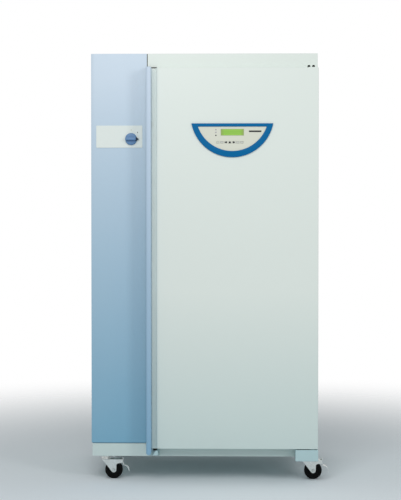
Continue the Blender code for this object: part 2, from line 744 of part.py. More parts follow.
def make_air_system():
    low, high = CHAMBER_FLOOR + SEAT, CHAMBER_TOP - SEAT
    edge = CHAMBER_WIDTH / 2 + SHEET
    centre = (0, FAN_HEIGHT)
    openings = intake_openings(centre, INTAKE_HUB, INTAKE_RADIUS, INTAKE_OPENINGS, INTAKE_RIB)
    baffle = plate(rectangle(-edge, edge, low, high), openings, BAFFLE_Y, BAFFLE_Y + SHEET, FACING_Y)
    finish(baffle, "rear_baffle", steel, cabinet)

    can_front = LINER_BACK + SHEET + SEAT
    bore = FAN_SHAFT + RUNNING
    can_back = CASING_DEPTH - MOTOR_BACK
    profile = [
        (0, can_back), (MOTOR_RADIUS - MOTOR_EDGE, can_back), (MOTOR_RADIUS, can_back - MOTOR_EDGE),
        (MOTOR_RADIUS, can_front), (0, can_front),
    ]
    motor = turned(profile, "y", (0, 0, FAN_HEIGHT), 20)
    cut(motor, cylinder("y", can_front - PAST, can_front + MOTOR_BORE, centre, bore, 12))
    finish(motor, "fan_motor", grey_metal, cabinet)

    shaft = can_front + MOTOR_BORE - 4 * RUNNING - FAN_Y - FAN_DEPTH
    make_fan("circulation_fan", FAN_Y, centre, FAN_RADIUS, FAN_HUB, FAN_DEPTH, shaft, circulation_frame,
             FAN_BLADES, aluminium)

    ring = []
    for x, z in arc(centre, HEATER_RADIUS, *HEATER_SPAN, HEATER_STEPS):
        ring.append((x, FAN_Y + FAN_DEPTH / 2, z))
    tail = [(p[0], LINER_BACK - SEAT, p[2]) for p in (ring[0], ring[-1])]
    route = [tail[0], *ring, tail[1]]
    finish(tube(route, HEATER_ROD), "heater_ring", grey_metal, cabinet)

    half, top = EVAPORATOR_SIZE[0] / 2, EVAPORATOR_FLOOR + EVAPORATOR_SIZE[1]
    back = LINER_BACK - SEAT
    slots = fin_slots(-half, half, EVAPORATOR_FLOOR, top, EVAPORATOR_FINS)
    block = plate(rectangle(-half, half, EVAPORATOR_FLOOR, top), slots, back - EVAPORATOR_DEPTH, back, FACING_Y)
    finish(block, "evaporator", aluminium, cabinet)

    tip = BAFFLE_Y - SEAT
    nut_end = tip - SENSOR_RADIUS
    profile = [
        (0, tip), (SENSOR_NUT, tip), (SENSOR_NUT, nut_end), (SENSOR_RADIUS, nut_end - LAP),
        (SENSOR_RADIUS, tip - SENSOR_LENGTH + SENSOR_RADIUS), (0, tip - SENSOR_LENGTH),
    ]
    sensor = turned(profile, "y", (SENSOR_X, 0, CHAMBER_TOP - SENSOR_DROP), 12)
    finish(sensor, "temperature_sensor", steel, cabinet)


def fin_slots(left, right, low, high, count):
    """Upright gaps between the fins of a heat exchanger, inside an even border."""
    pitch = (right - left - 2 * FIN_BORDER + FIN) / count
    start = left + FIN_BORDER
    return [
        rectangle(start + i * pitch, start + (i + 1) * pitch - FIN, low + FIN_BORDER, high - FIN_BORDER)
        for i in range(count)
    ]


def make_glass_door():
    side, low, high = LINER_SIDE - GLASS_MARGIN, CHAMBER_FLOOR + GLASS_MARGIN, CHAMBER_TOP - GLASS_MARGIN
    front, back = CHAMBER_FRONT - GLASS_THICKNESS, CHAMBER_FRONT
    pane = box((-side, side), (front, back), (low, high))
    axis = (LINER_SIDE - GLASS_AXIS_INSET, CHAMBER_FRONT - GLASS_THICKNESS / 2)
    join(
        pane,
        cylinder("z", low - GLASS_MARGIN - GLASS_PIN_REACH, low + PAST, axis, GLASS_PIN_RADIUS, 12),
        cylinder("z", high - PAST, high + GLASS_MARGIN + GLASS_PIN_REACH, axis, GLASS_PIN_RADIUS, 12),
    )
    finish(pane, "glass_door", glass, glass_frame)


def make_cooling_housing():
    right = LEFT - SEAT
    low = BASE_TOP + SEAT
    shell = box((HOUSING_LEFT, right), (FRONT_PAN_DEPTH + SEAT, CASING_DEPTH), (low, HEIGHT))
    back = (CASING_DEPTH - PAST, CASING_DEPTH + PAST)
    span = (HOUSING_MIDDLE - LOUVRE[0] / 2, HOUSING_MIDDLE + LOUVRE[0] / 2)
    pitch = CONDENSER_SIZE[1] / LOUVRES
    rows = [low + (i + 0.5) * pitch for i in range(LOUVRES)]
    cut(
        shell,
        box((HOUSING_LEFT + SHEET, right + PAST), (0, CASING_DEPTH - SHEET), (low - PAST, HEIGHT - SHEET)),
        boxes([(span, back, (z - LOUVRE[1] / 2, z + LOUVRE[1] / 2)) for z in rows]),
    )
    finish(shell, "cooling_housing", white, cabinet)

    knob = (HOUSING_LEFT + KNOB_X, KNOB_Z)
    pan = plate(
        [
            (HOUSING_LEFT, FRONT_PAN_DEPTH), (HOUSING_LEFT, FRONT_PAN_CREASE[1]),
            (HOUSING_LEFT + FRONT_PAN_CREASE[0], 0), (right, 0), (right, FRONT_PAN_DEPTH),
        ],
        [], low, HEIGHT, FACING_Z,
    )
    cut(
        pan,
        cylinder("y", -PAST, FRONT_PAN_DEPTH + PAST, knob, KNOB_SHAFT + 3 * RUNNING, 16),
        box(
            (HOUSING_LEFT + SHEET, right - SHEET), (FRONT_PAN_CREASE[1] + SHEET, FRONT_PAN_DEPTH + PAST),
            (low + SHEET, HEIGHT - SHEET),
        ),
    )
    finish(pan, "cooling_front_panel", blue, cabinet)

    face = plate(
        rounded_rectangle(*window(HOUSING_LEFT + PLATE_X, PLATE_Z, PLATE_SIZE), 2 * SHEET),
        [arc(knob, KNOB_SHAFT + RUNNING, 0, 337.5, 15)],
        -SEAT - PLATE_THICKNESS, -SEAT, FACING_Y,
    )
    finish(face, "switch_plate", cream, cabinet)

    back = -2 * SEAT - PLATE_THICKNESS
    front = back - KNOB_SKIRT
    profile = [
        (0, KNOB_SHAFT_LENGTH), (KNOB_SHAFT, KNOB_SHAFT_LENGTH), (KNOB_SHAFT, back), (KNOB_RADIUS, back),
        (KNOB_RADIUS, front + 2 * LAP), (KNOB_RADIUS - 2 * LAP, front), (0, front),
    ]
    obj = turned(profile, "y", (knob[0], 0, knob[1]), 24)
    long, deep, thick = KNOB_RIDGE
    ridge = box(
        (knob[0] - long / 2, knob[0] + long / 2), (front - deep, front + LAP),
        (knob[1] - thick / 2, knob[1] + thick / 2),
    )
    bevel(ridge, thick / 5, 2)
    tip, half, deep = KNOB_POINTER
    nose = [(knob[0], knob[1] - half), (knob[0] + tip, knob[1]), (knob[0], knob[1] + half)]
    join(obj, ridge, plate(nose, [], back - deep, back, FACING_Y))
    finish(obj, "main_switch_knob", dark_blue, knob_frame)


def make_cooling_machine():
    base = COMPRESSOR_BASE
    profile = [
        (COMPRESSOR_RADIUS * share, base + COMPRESSOR_HEIGHT * rise) for share, rise in COMPRESSOR_PROFILE
    ]
    finish(turned(profile, "z", (HOUSING_MIDDLE, COMPRESSOR_Y, 0), 18), "compressor", black_metal, cabinet)

    wide, tall = CONDENSER_SIZE
    left, right = HOUSING_MIDDLE - wide / 2, HOUSING_MIDDLE + wide / 2
    high = base + tall
    block = plate(
        rectangle(left, right, base, high), fin_slots(left, right, base, high, CONDENSER_FINS),
        CONDENSER_FRONT, CONDENSER_BACK, FACING_Y,
    )
    finish(block, "condenser", aluminium, cabinet)

    centre = (HOUSING_MIDDLE, CONDENSER_MIDDLE_Z)
    back = CONDENSER_FRONT - SEAT
    shroud = plate(
        rectangle(left, right, base, high),
        intake_openings(centre, SHROUD_HUB, COOLING_FAN_RADIUS + 4 * RUNNING, 3, INTAKE_RIB),
        back - SHROUD_SHEET, back, FACING_Y,
    )
    join(shroud, cylinder("y", back - SHROUD_MOTOR, back - LAP, centre, SHROUD_HUB - 2 * LAP, 16))
    cut(shroud, cylinder("y", back - SHROUD_MOTOR - PAST, back - PAST, centre, FAN_SHAFT + RUNNING, 12))
    finish(shroud, "condenser_fan_shroud", grey_metal, cabinet)
    fan_front = back - SHROUD_MOTOR - RUNNING - COOLING_FAN_DEPTH
    make_fan("condenser_fan", fan_front, centre, COOLING_FAN_RADIUS, COOLING_FAN_HUB, COOLING_FAN_DEPTH,
             COOLING_FAN_SHAFT, condenser_fan_frame, COOLING_FAN_BLADES, grey_plastic)

    pot_side = COMPRESSOR_RADIUS + 2 * SEAT
    start_z = base + PIPE_STUB
    down_x, down_y = left + PIPE_INSET - SHEET, CONDENSER_BACK - CONDENSER_DEPTH / 2
    discharge = [
        (HOUSING_MIDDLE - pot_side, COMPRESSOR_Y, start_z), (down_x, COMPRESSOR_Y, start_z),
        (down_x, COMPRESSOR_Y, high + PIPE_RISE), (down_x, down_y, high + PIPE_RISE),
        (down_x, down_y, high + SEAT),
    ]
    finish(tube(bend(discharge, PIPE_BEND), PIPE_RADIUS), "discharge_pipe", copper, cabinet)
    up_x = LEFT - PIPE_INSET
    suction = [
        (HOUSING_MIDDLE + pot_side + RUNNING, COMPRESSOR_Y, start_z), (up_x, COMPRESSOR_Y, start_z),
        (up_x, COMPRESSOR_Y, PIPE_HEIGHT), (up_x, PIPE_Y, PIPE_HEIGHT),
        (-EVAPORATOR_SIZE[0] / 2 - SEAT, PIPE_Y, PIPE_HEIGHT),
    ]
    finish(tube(bend(suction, PIPE_BEND), PIPE_RADIUS), "suction_pipe", copper, cabinet)

    back = CASING_DEPTH + SEAT

    face = back + INLET_SIZE[2]
    inlet = plate(rectangle(*window(HOUSING_MIDDLE, INLET_Z, INLET_SIZE)), [], back, face, FACING_Y)
    bevel(inlet, SHEET, 1)
    socket = rectangle(*window(HOUSING_MIDDLE, INLET_Z, INLET_SOCKET))
    cut(inlet, plate(socket, [], face - INLET_SOCKET[2], face + PAST, FACING_Y))
    finish(inlet, "mains_inlet", black, cabinet)


def door_outline(inset):
    """The door seen from above: a full-thickness slab with a thinner step at the left for the handle."""
    corner = DOOR_EDGE_RADIUS - inset
    left, right, front = FACE_LEFT + inset, RIGHT - inset, DOOR_FRONT + inset
    points = [(LEFT + inset, STEP_FRONT + inset), (left, STEP_FRONT + inset)]
    points += arc((left + corner, front + corner), corner, 180, 270, 3)
    points += arc((right - corner, front + corner), corner, 270, 360, 3)
    return points


def make_door():
    outer = door_outline(0) + [(RIGHT, DOOR_BACK), (LEFT, DOOR_BACK)]
    skin = plate(outer, [], DOOR_BOTTOM, DOOR_TOP, FACING_Z)
    open_back = [(RIGHT - SHEET, PAST), (LEFT + SHEET, PAST)]
    cut(skin, plate(door_outline(SHEET) + open_back, [], DOOR_BOTTOM + SHEET, DOOR_TOP - SHEET, FACING_Z))
    for z in EAR_Z:
        stem = STEP_FRONT + SHEET / 2
        ear = [(HANDLE_X + EAR_RADIUS, stem), (HANDLE_X - EAR_RADIUS, stem)]
        ear += arc((HANDLE_X, HANDLE_Y), EAR_RADIUS, 180, 360, 8)
        hole = arc((HANDLE_X, HANDLE_Y), HANDLE_PIN_RADIUS + PIN_PLAY, 0, 330, 11)
        join(skin, plate(ear, [hole], z - EAR_HEIGHT / 2, z + EAR_HEIGHT / 2, FACING_Z))
    glide_x = (HANDLE_X + HANDLE_R + GLIDE_DROP, FACE_LEFT - LAP)
    glide_y = (DOOR_BACK - GLIDE_Y[0], DOOR_BACK - GLIDE_Y[1])
    pin_hole = HINGE_PIN_RADIUS + RUNNING
    join(skin, box(glide_x, glide_y, (DOOR_BOTTOM - GLIDE_DROP, DOOR_BOTTOM + SHEET / 2)))
    cut(
        skin,
        cylinder("z", DOOR_BOTTOM - PAST, DOOR_BOTTOM + PAST, (HINGE_X, HINGE_Y), pin_hole, 16),
        cylinder("z", DOOR_TOP - PAST, DOOR_TOP + PAST, (HINGE_X, HINGE_Y), pin_hole, 16),
    )
    finish(skin, "door_skin", white, door_frame)

    gap = SHEET + SEAT
    inner_back = DOOR_BACK - gap
    filling = plate(
        door_outline(gap) + [(RIGHT - gap, inner_back), (LEFT + gap, inner_back)], [],
        DOOR_BOTTOM + gap, DOOR_TOP - gap, FACING_Z,
    )
    cut(
        filling,
        cylinder("z", DOOR_BOTTOM - PAST, DOOR_BOTTOM + PIN_DEPTH + PAST, (HINGE_X, HINGE_Y), pin_hole, 16),
        cylinder("z", DOOR_TOP - PIN_DEPTH - PAST, DOOR_TOP + PAST, (HINGE_X, HINGE_Y), pin_hole, 16),
    )
    finish(filling, "door_foam", foam_white, door_frame)

    back = box(
        (LEFT + gap, RIGHT - gap), (DOOR_BACK - SHEET, DOOR_BACK), (DOOR_BOTTOM + gap, DOOR_TOP - gap)
    )
    finish(back, "door_liner", white, door_frame)

    side = RIGHT - GASKET_INSET
    low, high = DOOR_BOTTOM + GASKET_INSET, DOOR_TOP - GASKET_INSET
    wide = GASKET_WIDTH
    seal = plate(
        rounded_rectangle(-side, side, low, high, DOOR_GAP, 2),
        [rectangle(-side + wide, side - wide, low + wide, high - wide)],
        DOOR_BACK + SEAT, -SEAT, FACING_Y,
    )
    finish(seal, "door_gasket", soft_grey, door_frame)


def half_moon(chord, rise, radius, steps):
    """A circle's lower segment under a level chord, its centre above the chord by rise."""
    half = math.degrees(math.acos(rise / radius))
    return arc((0, chord + rise), radius, 270 - half, 270 + half, steps)


def make_control_panel():
    back = DOOR_FRONT - SEAT
    outer = half_moon(PANEL_CHORD_Z, PANEL_CENTRE_RISE, PANEL_RADIUS, 28)
    chord = PANEL_CHORD_Z - BEZEL_TOP_BAND
    bottom = PANEL_CHORD_Z + PANEL_CENTRE_RISE - PANEL_RADIUS + BEZEL_BAND
    radius = chord + FASCIA_CENTRE_RISE - bottom
    inner = half_moon(chord, FASCIA_CENTRE_RISE, radius, 24)
    bezel = plate(outer, [inner], back - BEZEL_THICKNESS, back, FACING_Y)
    finish(bevel(bezel, SHEET, 1, 60), "panel_bezel", deep_blue, door_frame)

    display_z = PANEL_CHORD_Z - DISPLAY_DROP
    card_z = PANEL_CHORD_Z - CARD_DROP
    key_z = PANEL_CHORD_Z - KEY_DROP
    key_places = [KEY_ROW_X + (i - (KEYS - 1) / 2) * KEY_PITCH for i in range(KEYS)]

    holes = [rectangle(*window(0, display_z, DISPLAY_SIZE)), rectangle(*window(CARD_X, card_z, CARD_SIZE))]
    holes += [rectangle(*window(x, key_z, KEY_SIZE, KEY_CLEARANCE)) for x in key_places]
    moon = half_moon(chord - SEAT, FASCIA_CENTRE_RISE + SEAT, radius - 2 * SEAT, 24)
    fascia = plate(moon, holes, back - FASCIA_THICKNESS, back, FACING_Y)
    finish(fascia, "panel_fascia", cream, door_frame)

    front = back - FASCIA_THICKNESS - DISPLAY_PROUD
    glazing = plate(rectangle(*window(0, display_z, DISPLAY_SIZE, -SEAT)), [], front, back, FACING_Y)
    finish(glazing, "display_window", green, door_frame)

    front = back - FASCIA_THICKNESS - CARD_PROUD
    reader = plate(rectangle(*window(CARD_X, card_z, CARD_SIZE, -SEAT)), [], front, back, FACING_Y)
    cut(reader, box(
        (CARD_X - CARD_SLOT[0] / 2, CARD_X + CARD_SLOT[0] / 2), (front - PAST, front + CARD_SLOT_DEPTH),
        (card_z - CARD_SLOT[1] / 2, card_z + CARD_SLOT[1] / 2),
    ))
    finish(reader, "card_reader", black, door_frame)

    front = back - FASCIA_THICKNESS - KEY_PROUD
    for i, x in enumerate(key_places):
        outline = rounded_rectangle(*window(x, key_z, KEY_SIZE), KEY_CORNER, 2)
        key = plate(outline, [], front, front + KEY_THICKNESS, FACING_Y)
        frame = frame_at(f"key_{i + 1}_axis", (x, front, key_z), door_frame)
        finish(key, f"key_{i + 1}", grey_plastic, frame)


def make_handle():
    front_centre = HANDLE_FRONT + HANDLE_R
    outline = arc((HANDLE_X, front_centre), HANDLE_R, 180, 360, 8)
    outline += arc((HANDLE_X, HANDLE_Y), HANDLE_R, 0, 180, 8)
    bar = plate(outline, [], HANDLE_BOTTOM, HANDLE_TOP, FACING_Z)
    foot_z = HANDLE_BOTTOM + HANDLE_R
    foot = arc((HANDLE_X, foot_z), HANDLE_R, 180, 360, 8)
    for side, z in ((1, foot_z), (1, HANDLE_TOP + PAST), (-1, HANDLE_TOP + PAST), (-1, foot_z)):
        foot.append((HANDLE_X + side * (HANDLE_R + PAST), z))
    combine(bar, "INTERSECT", [plate(foot, [], HANDLE_FRONT - PAST, 0.0, FACING_Y)])
    notch_front = HANDLE_Y - EAR_RADIUS - EAR_PLAY
    for z in EAR_Z:
        half = EAR_HEIGHT / 2 + RUNNING
        cut(bar, box(
            (HANDLE_X - HANDLE_WIDTH, HANDLE_X + HANDLE_WIDTH), (notch_front, HANDLE_Y + HANDLE_WIDTH),
            (z - half, z + half),
        ))
        join(bar, cylinder("z", z - half - LAP, z + half + LAP, (HANDLE_X, HANDLE_Y), HANDLE_PIN_RADIUS, 12))
    for low, high in (LOWER_CAM_Z, UPPER_CAM_Z):
        cam = [
            (HANDLE_X + 4 * LAP, HANDLE_Y), (HANDLE_X - CAM_SIDE + CAM_TIP, HANDLE_Y + CAM_BACK),
            (HANDLE_X - CAM_SIDE, HANDLE_Y + CAM_BACK), (HANDLE_X - CAM_SIDE, HANDLE_Y),
            (HANDLE_X, HANDLE_Y - 6 * LAP),
        ]
        join(bar, plate(cam, [], low, high, FACING_Z))
    finish(bar, "door_handle", blue, handle_frame)


def make_hinges_and_keepers():
    pin = (HINGE_X, HINGE_Y)
    leg_low, leg_high = (DOOR_TOP + rise for rise in TOP_HINGE_LEG)
    across = (RIGHT - TOP_HINGE_WIDTH[1], RIGHT - TOP_HINGE_WIDTH[0])
    bracket = box(across, (-TOP_HINGE_REACH, -SEAT), (leg_low, leg_high))
    join(
        bracket,
        box(across, (-TOP_HINGE_LEG[1] + SEAT, -SEAT), (leg_low, CAP_BOTTOM + TOP_HINGE_FLANGE)),
        cylinder("z", DOOR_TOP - PIN_DEPTH, leg_low + LAP, pin, HINGE_PIN_RADIUS, 16),
    )
    finish(bracket, "top_hinge_bracket", white, cabinet)

    block_top = DOOR_BOTTOM - BOTTOM_HINGE_GAP
    across = (RIGHT - BOTTOM_HINGE_WIDTH[1], RIGHT - BOTTOM_HINGE_WIDTH[0])
    block = box(across, (-BOTTOM_HINGE_REACH, -SEAT), (GROUND_CLEARANCE - 4 * SHEET, block_top))
    bevel(block, 2 * LAP, 2)
    join(
        block,
        cylinder("z", block_top - 2 * LAP, DOOR_BOTTOM - SEAT, pin, HINGE_PIN_RADIUS * 2, 16),
        cylinder("z", block_top - LAP, DOOR_BOTTOM + PIN_DEPTH, pin, HINGE_PIN_RADIUS, 16),
    )
    finish(block, "bottom_hinge_block", white, cabinet)

    pad_x = (LEFT + LAP, HANDLE_X + 4 * LAP)
    ramp_left, ramp_right = (FACE_LEFT + side for side in RAMP_FOOT)
    low, high = GROUND_CLEARANCE + 2 * SHEET, DOOR_BOTTOM - GLIDE_DROP - 2 * RUNNING
    keeper = box((pad_x[0], ramp_right), (-BASE_SHEET, -SEAT), (low, high))
    top_left, top_right = (FACE_LEFT + side for side in RAMP_TOP)
    ramp = [(ramp_left, low), (ramp_right, low), (top_right, high), (top_left, high)]
    join(
        keeper,
        plate(ramp, [], DOOR_BACK - RAMP_REACH, -SEAT - LAP, FACING_Y),
        box(pad_x, (PAD_Y, -LAP), LOWER_CAM_Z),
    )
    finish(keeper, "bottom_keeper_ramp", white, cabinet)

    low, high = DOOR_TOP + BASE_SHEET, UPPER_CAM_Z[1]
    strike = plate(
        [(pad_x[0], high), (HANDLE_X - 4 * LAP, low), (HANDLE_X + 16 * LAP, low), (FACE_LEFT, high)], [],
        PAD_Y, -SEAT, FACING_Y,
    )
    finish(strike, "top_strike_pad", black, cabinet)


def band(points, width):
    """A strip of even width along a chain of points."""
    left, right = [], []
    for i, point in enumerate(points):
        before = Vector(points[max(i - 1, 0)])
        after = Vector(points[min(i + 1, len(points) - 1)])
        along = (after - before).normalized()
        side = Vector((-along.y, along.x)) * width / 2
        left.append(tuple(Vector(point) + side))
        right.append(tuple(Vector(point) - side))
    return left + right[::-1]


def make_caster(place, x, y, braked):
    axle_x, axle_z = x + TRAIL, WHEEL_RADIUS

    def at_wheel(points):
        return [(axle_x + across, axle_z + up) for across, up in points]

    swivel = frame_at(f"{place}_swivel_axis", (x, y, GROUND_CLEARANCE), cabinet)
    spin = frame_at(f"{place}_wheel_axis", (axle_x, y, axle_z), swivel)

    leg = at_wheel(
        [(-FORK_BACK, CROWN_TOP), LEG_KNEE]
        + arc((0, 0), LEG_END_RADIUS, 218, 350, 4)
        + arc(LEG_THROAT, LEG_THROAT_RADIUS, 200, 105, 3)
        + [(FORK_FRONT, LEG_CHIN), (FORK_FRONT, CROWN_TOP)]
    )
    race_top = GROUND_CLEARANCE - SEAT
    crown = axle_z + CROWN_TOP
    plate_top = GROUND_CLEARANCE + BASE_SHEET
    fork = turned(
        [
            (0, plate_top + 4 * LAP), (KINGPIN_HEAD, plate_top + 4 * LAP),
            (KINGPIN_HEAD, plate_top + 2 * SEAT), (KINGPIN_RADIUS, plate_top + 2 * SEAT),
            (KINGPIN_RADIUS, race_top), (RACE_RADIUS, race_top), (RACE_RADIUS, race_top - RACE_HEIGHT),
            (RACE_RADIUS - 4 * LAP, race_top - RACE_HEIGHT - 2 * LAP), (RACE_RADIUS - 2 * LAP, crown + 3 * LAP),
            (RACE_RADIUS - 5 * LAP, crown - 2 * LAP), (0, crown - 2 * LAP),
        ],
        "z", (x, y, 0), HEAD_SIDES,
    )
    half = FORK_GAP / 2
    outer = half + FORK_SHEET
    join(fork, box(
        (axle_x - FORK_BACK, axle_x + CROWN_END), (y - outer + SEAT, y + outer - SEAT), (crown - 3 * LAP, crown)
    ))
    for side in (-1, 1):
        span = sorted((y + side * half, y + side * outer))
        join(fork, plate(leg, [], *span, FACING_Y))
    join(fork, cylinder("y", y - outer - 2 * LAP, y + outer + 2 * LAP, (axle_x, axle_z), AXLE_RADIUS, 10))
    if braked:
        pivot = (axle_x + PEDAL_PIVOT[0], axle_z + PEDAL_PIVOT[1])
        join(fork, cylinder("y", y - outer - LAP, y + outer + LAP, pivot, PIVOT_RADIUS, 8))
    finish(fork, f"{place}_caster_fork", zinc, swivel)

    bore, tread = AXLE_RADIUS + RUNNING, WHEEL_RADIUS / math.cos(math.pi / WHEEL_SIDES)
    hub, flank = WHEEL_WIDTH / 2 + 2 * SEAT, WHEEL_WIDTH / 2
    web = flank - 4 * LAP
    half_profile = [
        (bore, hub), (WHEEL_HUB, hub), (WHEEL_HUB + 2 * LAP, web), (WHEEL_RIM - 3 * LAP, web), (WHEEL_RIM, flank),
        (tread - LAP, flank - 2 * LAP), (tread, flank - 7 * LAP),
    ]
    ring = [(r, y + along) for r, along in half_profile]
    ring += [(r, y - along) for r, along in reversed(half_profile)]
    ring.append(ring[0])
    wheel = turned(ring, "y", (axle_x, 0, axle_z), WHEEL_SIDES)
    finish(wheel, f"{place}_wheel", rubber, spin, 25)

    if not braked:
        return
    hinge = frame_at(f"{place}_pedal_axis", (pivot[0], y, pivot[1]), swivel)
    reach = PEDAL_REACH - PEDAL_SHEET / 2
    bow = [PEDAL_PIVOT, *PEDAL_BOW, (reach - 2 * LAP, 6 * LAP), (reach, -5 * LAP)]
    span = (y - PEDAL_WIDTH / 2, y + PEDAL_WIDTH / 2)
    half_tab = PEDAL_WIDTH / 3
    pedal = cylinder("y", *span, pivot, PEDAL_BOSS, 12)
    join(
        pedal,
        plate(at_wheel(band(bow, PEDAL_SHEET)), [], *span, FACING_Y),
        plate(at_wheel(band(PEDAL_TAB, PEDAL_SHEET)), [], y - half_tab, y + half_tab, FACING_Y),
    )
    cut(pedal, cylinder("y", span[0] - PAST, span[1] + PAST, pivot, PIVOT_RADIUS + PIN_PLAY, 12))
    finish(pedal, f"{place}_brake_pedal", zinc, hinge)


clear_scene()
parts = make_collection("cooled_incubator")
workbench = make_collection("workbench")

white = make_material("white enamel", (0.80, 0.84, 0.82), 0.35)
blue = make_material("light blue enamel", (0.36, 0.50, 0.66), 0.30)
deep_blue = make_material("deep blue plastic", (0.0, 0.12, 0.38), 0.35)
dark_blue = make_material("grey blue plastic", (0.09, 0.19, 0.42), 0.40)
cream = make_material("cream foil", (0.72, 0.74, 0.62), 0.45)
green = make_material("green display", (0.26, 0.60, 0.08), 0.20)
black = make_material("black plastic", (0.02, 0.02, 0.02), 0.45)
rubber = make_material("black tyre", (0.01, 0.01, 0.01), 0.70)
soft_grey = make_material("grey seal", (0.45, 0.46, 0.46), 0.80)
grey_plastic = make_material("grey plastic", (0.50, 0.52, 0.52), 0.50)
foam_white = make_material("rigid foam", (0.80, 0.74, 0.56), 0.95)
steel = make_material("stainless steel", (0.62, 0.62, 0.60), 0.25, 1.0)
zinc = make_material("zinc plate", (0.60, 0.62, 0.63), 0.30, 1.0)
aluminium = make_material("aluminium", (0.70, 0.71, 0.72), 0.35, 1.0)
grey_metal = make_material("grey metal", (0.35, 0.36, 0.37), 0.40, 0.8)
black_metal = make_material("black enamel", (0.02, 0.02, 0.02), 0.35, 0.3)
copper = make_material("copper", (0.72, 0.38, 0.24), 0.30, 1.0)
glass = make_material("clear glass", (0.85, 0.92, 0.90), 0.05, 0.0, 0.3)

frame_places = {"datum": Vector((0, 0, 0))}
cabinet = make_empty("datum", DATUM)
door_frame = frame_at("door_axis", (HINGE_X, HINGE_Y, DOOR_BOTTOM), cabinet)
handle_frame = frame_at("handle_axis", (HANDLE_X, HANDLE_Y, EAR_Z[0]), door_frame)
glass_axis = (LINER_SIDE - GLASS_AXIS_INSET, CHAMBER_FRONT - GLASS_THICKNESS / 2, CHAMBER_FLOOR)
glass_frame = frame_at("glass_door_axis", glass_axis, cabinet)
knob_frame = frame_at("main_switch_axis", (HOUSING_LEFT + KNOB_X, 0, KNOB_Z), cabinet)
circulation_frame = frame_at("circulation_fan_axis", (0, FAN_Y, FAN_HEIGHT), cabinet)
condenser_fan_frame = frame_at(
    "condenser_fan_axis", (HOUSING_MIDDLE, CONDENSER_FRONT, CONDENSER_MIDDLE_Z), cabinet
)

make_base()
make_casing()
make_chamber()
make_air_walls()
make_shelves()
make_air_system()
make_glass_door()
make_cooling_housing()
make_cooling_machine()
make_door()
make_control_panel()
make_handle()
make_hinges_and_keepers()
for caster_place, (caster_x, caster_y, has_brake) in CASTERS.items():
    make_caster(caster_place, caster_x, caster_y, has_brake)
bpy.data.collections.remove(workbench)
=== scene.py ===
# %% [markdown]
# # A cooled incubator, dressed for its photograph
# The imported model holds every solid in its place. This lesson gives the solids real finishes, adds the small things
# that they leave out (screws, marks, lamps, fins, wires), and sets up the photograph's camera and light. Everything
# is in metres, with +Z up and the front of the cabinet at -Y.

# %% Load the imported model
import json
import math

import bmesh
import bpy
from mathutils import Matrix, Vector


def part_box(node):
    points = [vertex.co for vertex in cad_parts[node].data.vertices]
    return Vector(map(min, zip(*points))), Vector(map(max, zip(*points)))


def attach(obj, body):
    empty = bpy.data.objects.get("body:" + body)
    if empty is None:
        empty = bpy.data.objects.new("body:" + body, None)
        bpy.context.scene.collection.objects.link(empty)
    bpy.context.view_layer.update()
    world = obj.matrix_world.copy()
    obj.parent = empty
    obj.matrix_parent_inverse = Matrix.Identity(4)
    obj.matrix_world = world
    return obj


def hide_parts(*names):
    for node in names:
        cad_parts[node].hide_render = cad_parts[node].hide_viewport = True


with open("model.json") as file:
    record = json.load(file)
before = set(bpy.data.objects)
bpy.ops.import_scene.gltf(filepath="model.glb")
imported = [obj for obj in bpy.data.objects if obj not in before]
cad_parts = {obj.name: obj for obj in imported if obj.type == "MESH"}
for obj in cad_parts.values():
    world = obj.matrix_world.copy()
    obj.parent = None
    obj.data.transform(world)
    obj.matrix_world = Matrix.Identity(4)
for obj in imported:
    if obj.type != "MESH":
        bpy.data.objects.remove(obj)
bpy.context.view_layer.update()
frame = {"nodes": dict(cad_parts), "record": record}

nodes = frame["nodes"]

# %% [markdown]
# ## Where things are
# A screw could be placed by typed coordinates. Placed by the sides of the solid that carries it, it stays there if
# the solid moves.


# %% Sides of a solid
class Edges:
    """The six sides of a solid's box by name, with its middle and its sizes."""

    def __init__(self, node):
        low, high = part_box(node)
        self.left, self.front, self.bottom = low
        self.right, self.back, self.top = high
        self.middle = (Vector(low) + Vector(high)) / 2
        self.wide, self.deep, self.tall = (end - start for start, end in zip(low, high))


door = Edges("door_skin")
cap = Edges("top_cap")
housing = Edges("cooling_housing")
print("door is", round(door.wide, 3), "m wide and", round(door.tall, 3), "m high")

# %% [markdown]
# ## Camera
# The photograph is taken from about five and a half metres. The pixel that the lens would hit when aimed square at
# the front lies right of the picture's middle and above it, so the camera is turned a little to the left and tipped a
# little down. Both angles follow from that pixel.

# %% Photograph's camera
PHOTO_WIDTH, PHOTO_HEIGHT = 401, 500
SQUARE_ON = (224.1, 227.5)
FOCAL_PIXELS = 1232.0
EYE = (0.06075, -5.798, 1.1355)


def in_scene(name, data):
    """A new object at the origin of the scene."""
    made = bpy.data.objects.new(name, data)
    bpy.context.scene.collection.objects.link(made)
    return made


camera = in_scene("photograph", bpy.data.cameras.new("photograph"))
camera.data.sensor_width = 36.0
camera.data.lens = FOCAL_PIXELS / PHOTO_HEIGHT * camera.data.sensor_width
turn_left = math.atan((SQUARE_ON[0] - PHOTO_WIDTH / 2) / FOCAL_PIXELS)
tip_down = math.atan((PHOTO_HEIGHT / 2 - SQUARE_ON[1]) / FOCAL_PIXELS)
camera.location = EYE
camera.rotation_euler = (math.radians(90) - tip_down, 0.0, turn_left)
bpy.context.scene.camera = camera
print("lens", round(camera.data.lens, 1), "mm, turned", round(math.degrees(turn_left), 2), "degrees")

# %% [markdown]
# ## Shader sums in plain Python
# A procedural finish is a sum on numbers that change over a surface. A small class round a node's output lets
# Python's own signs add the Math nodes, so that a finish reads as a formula. One method adds every other node.


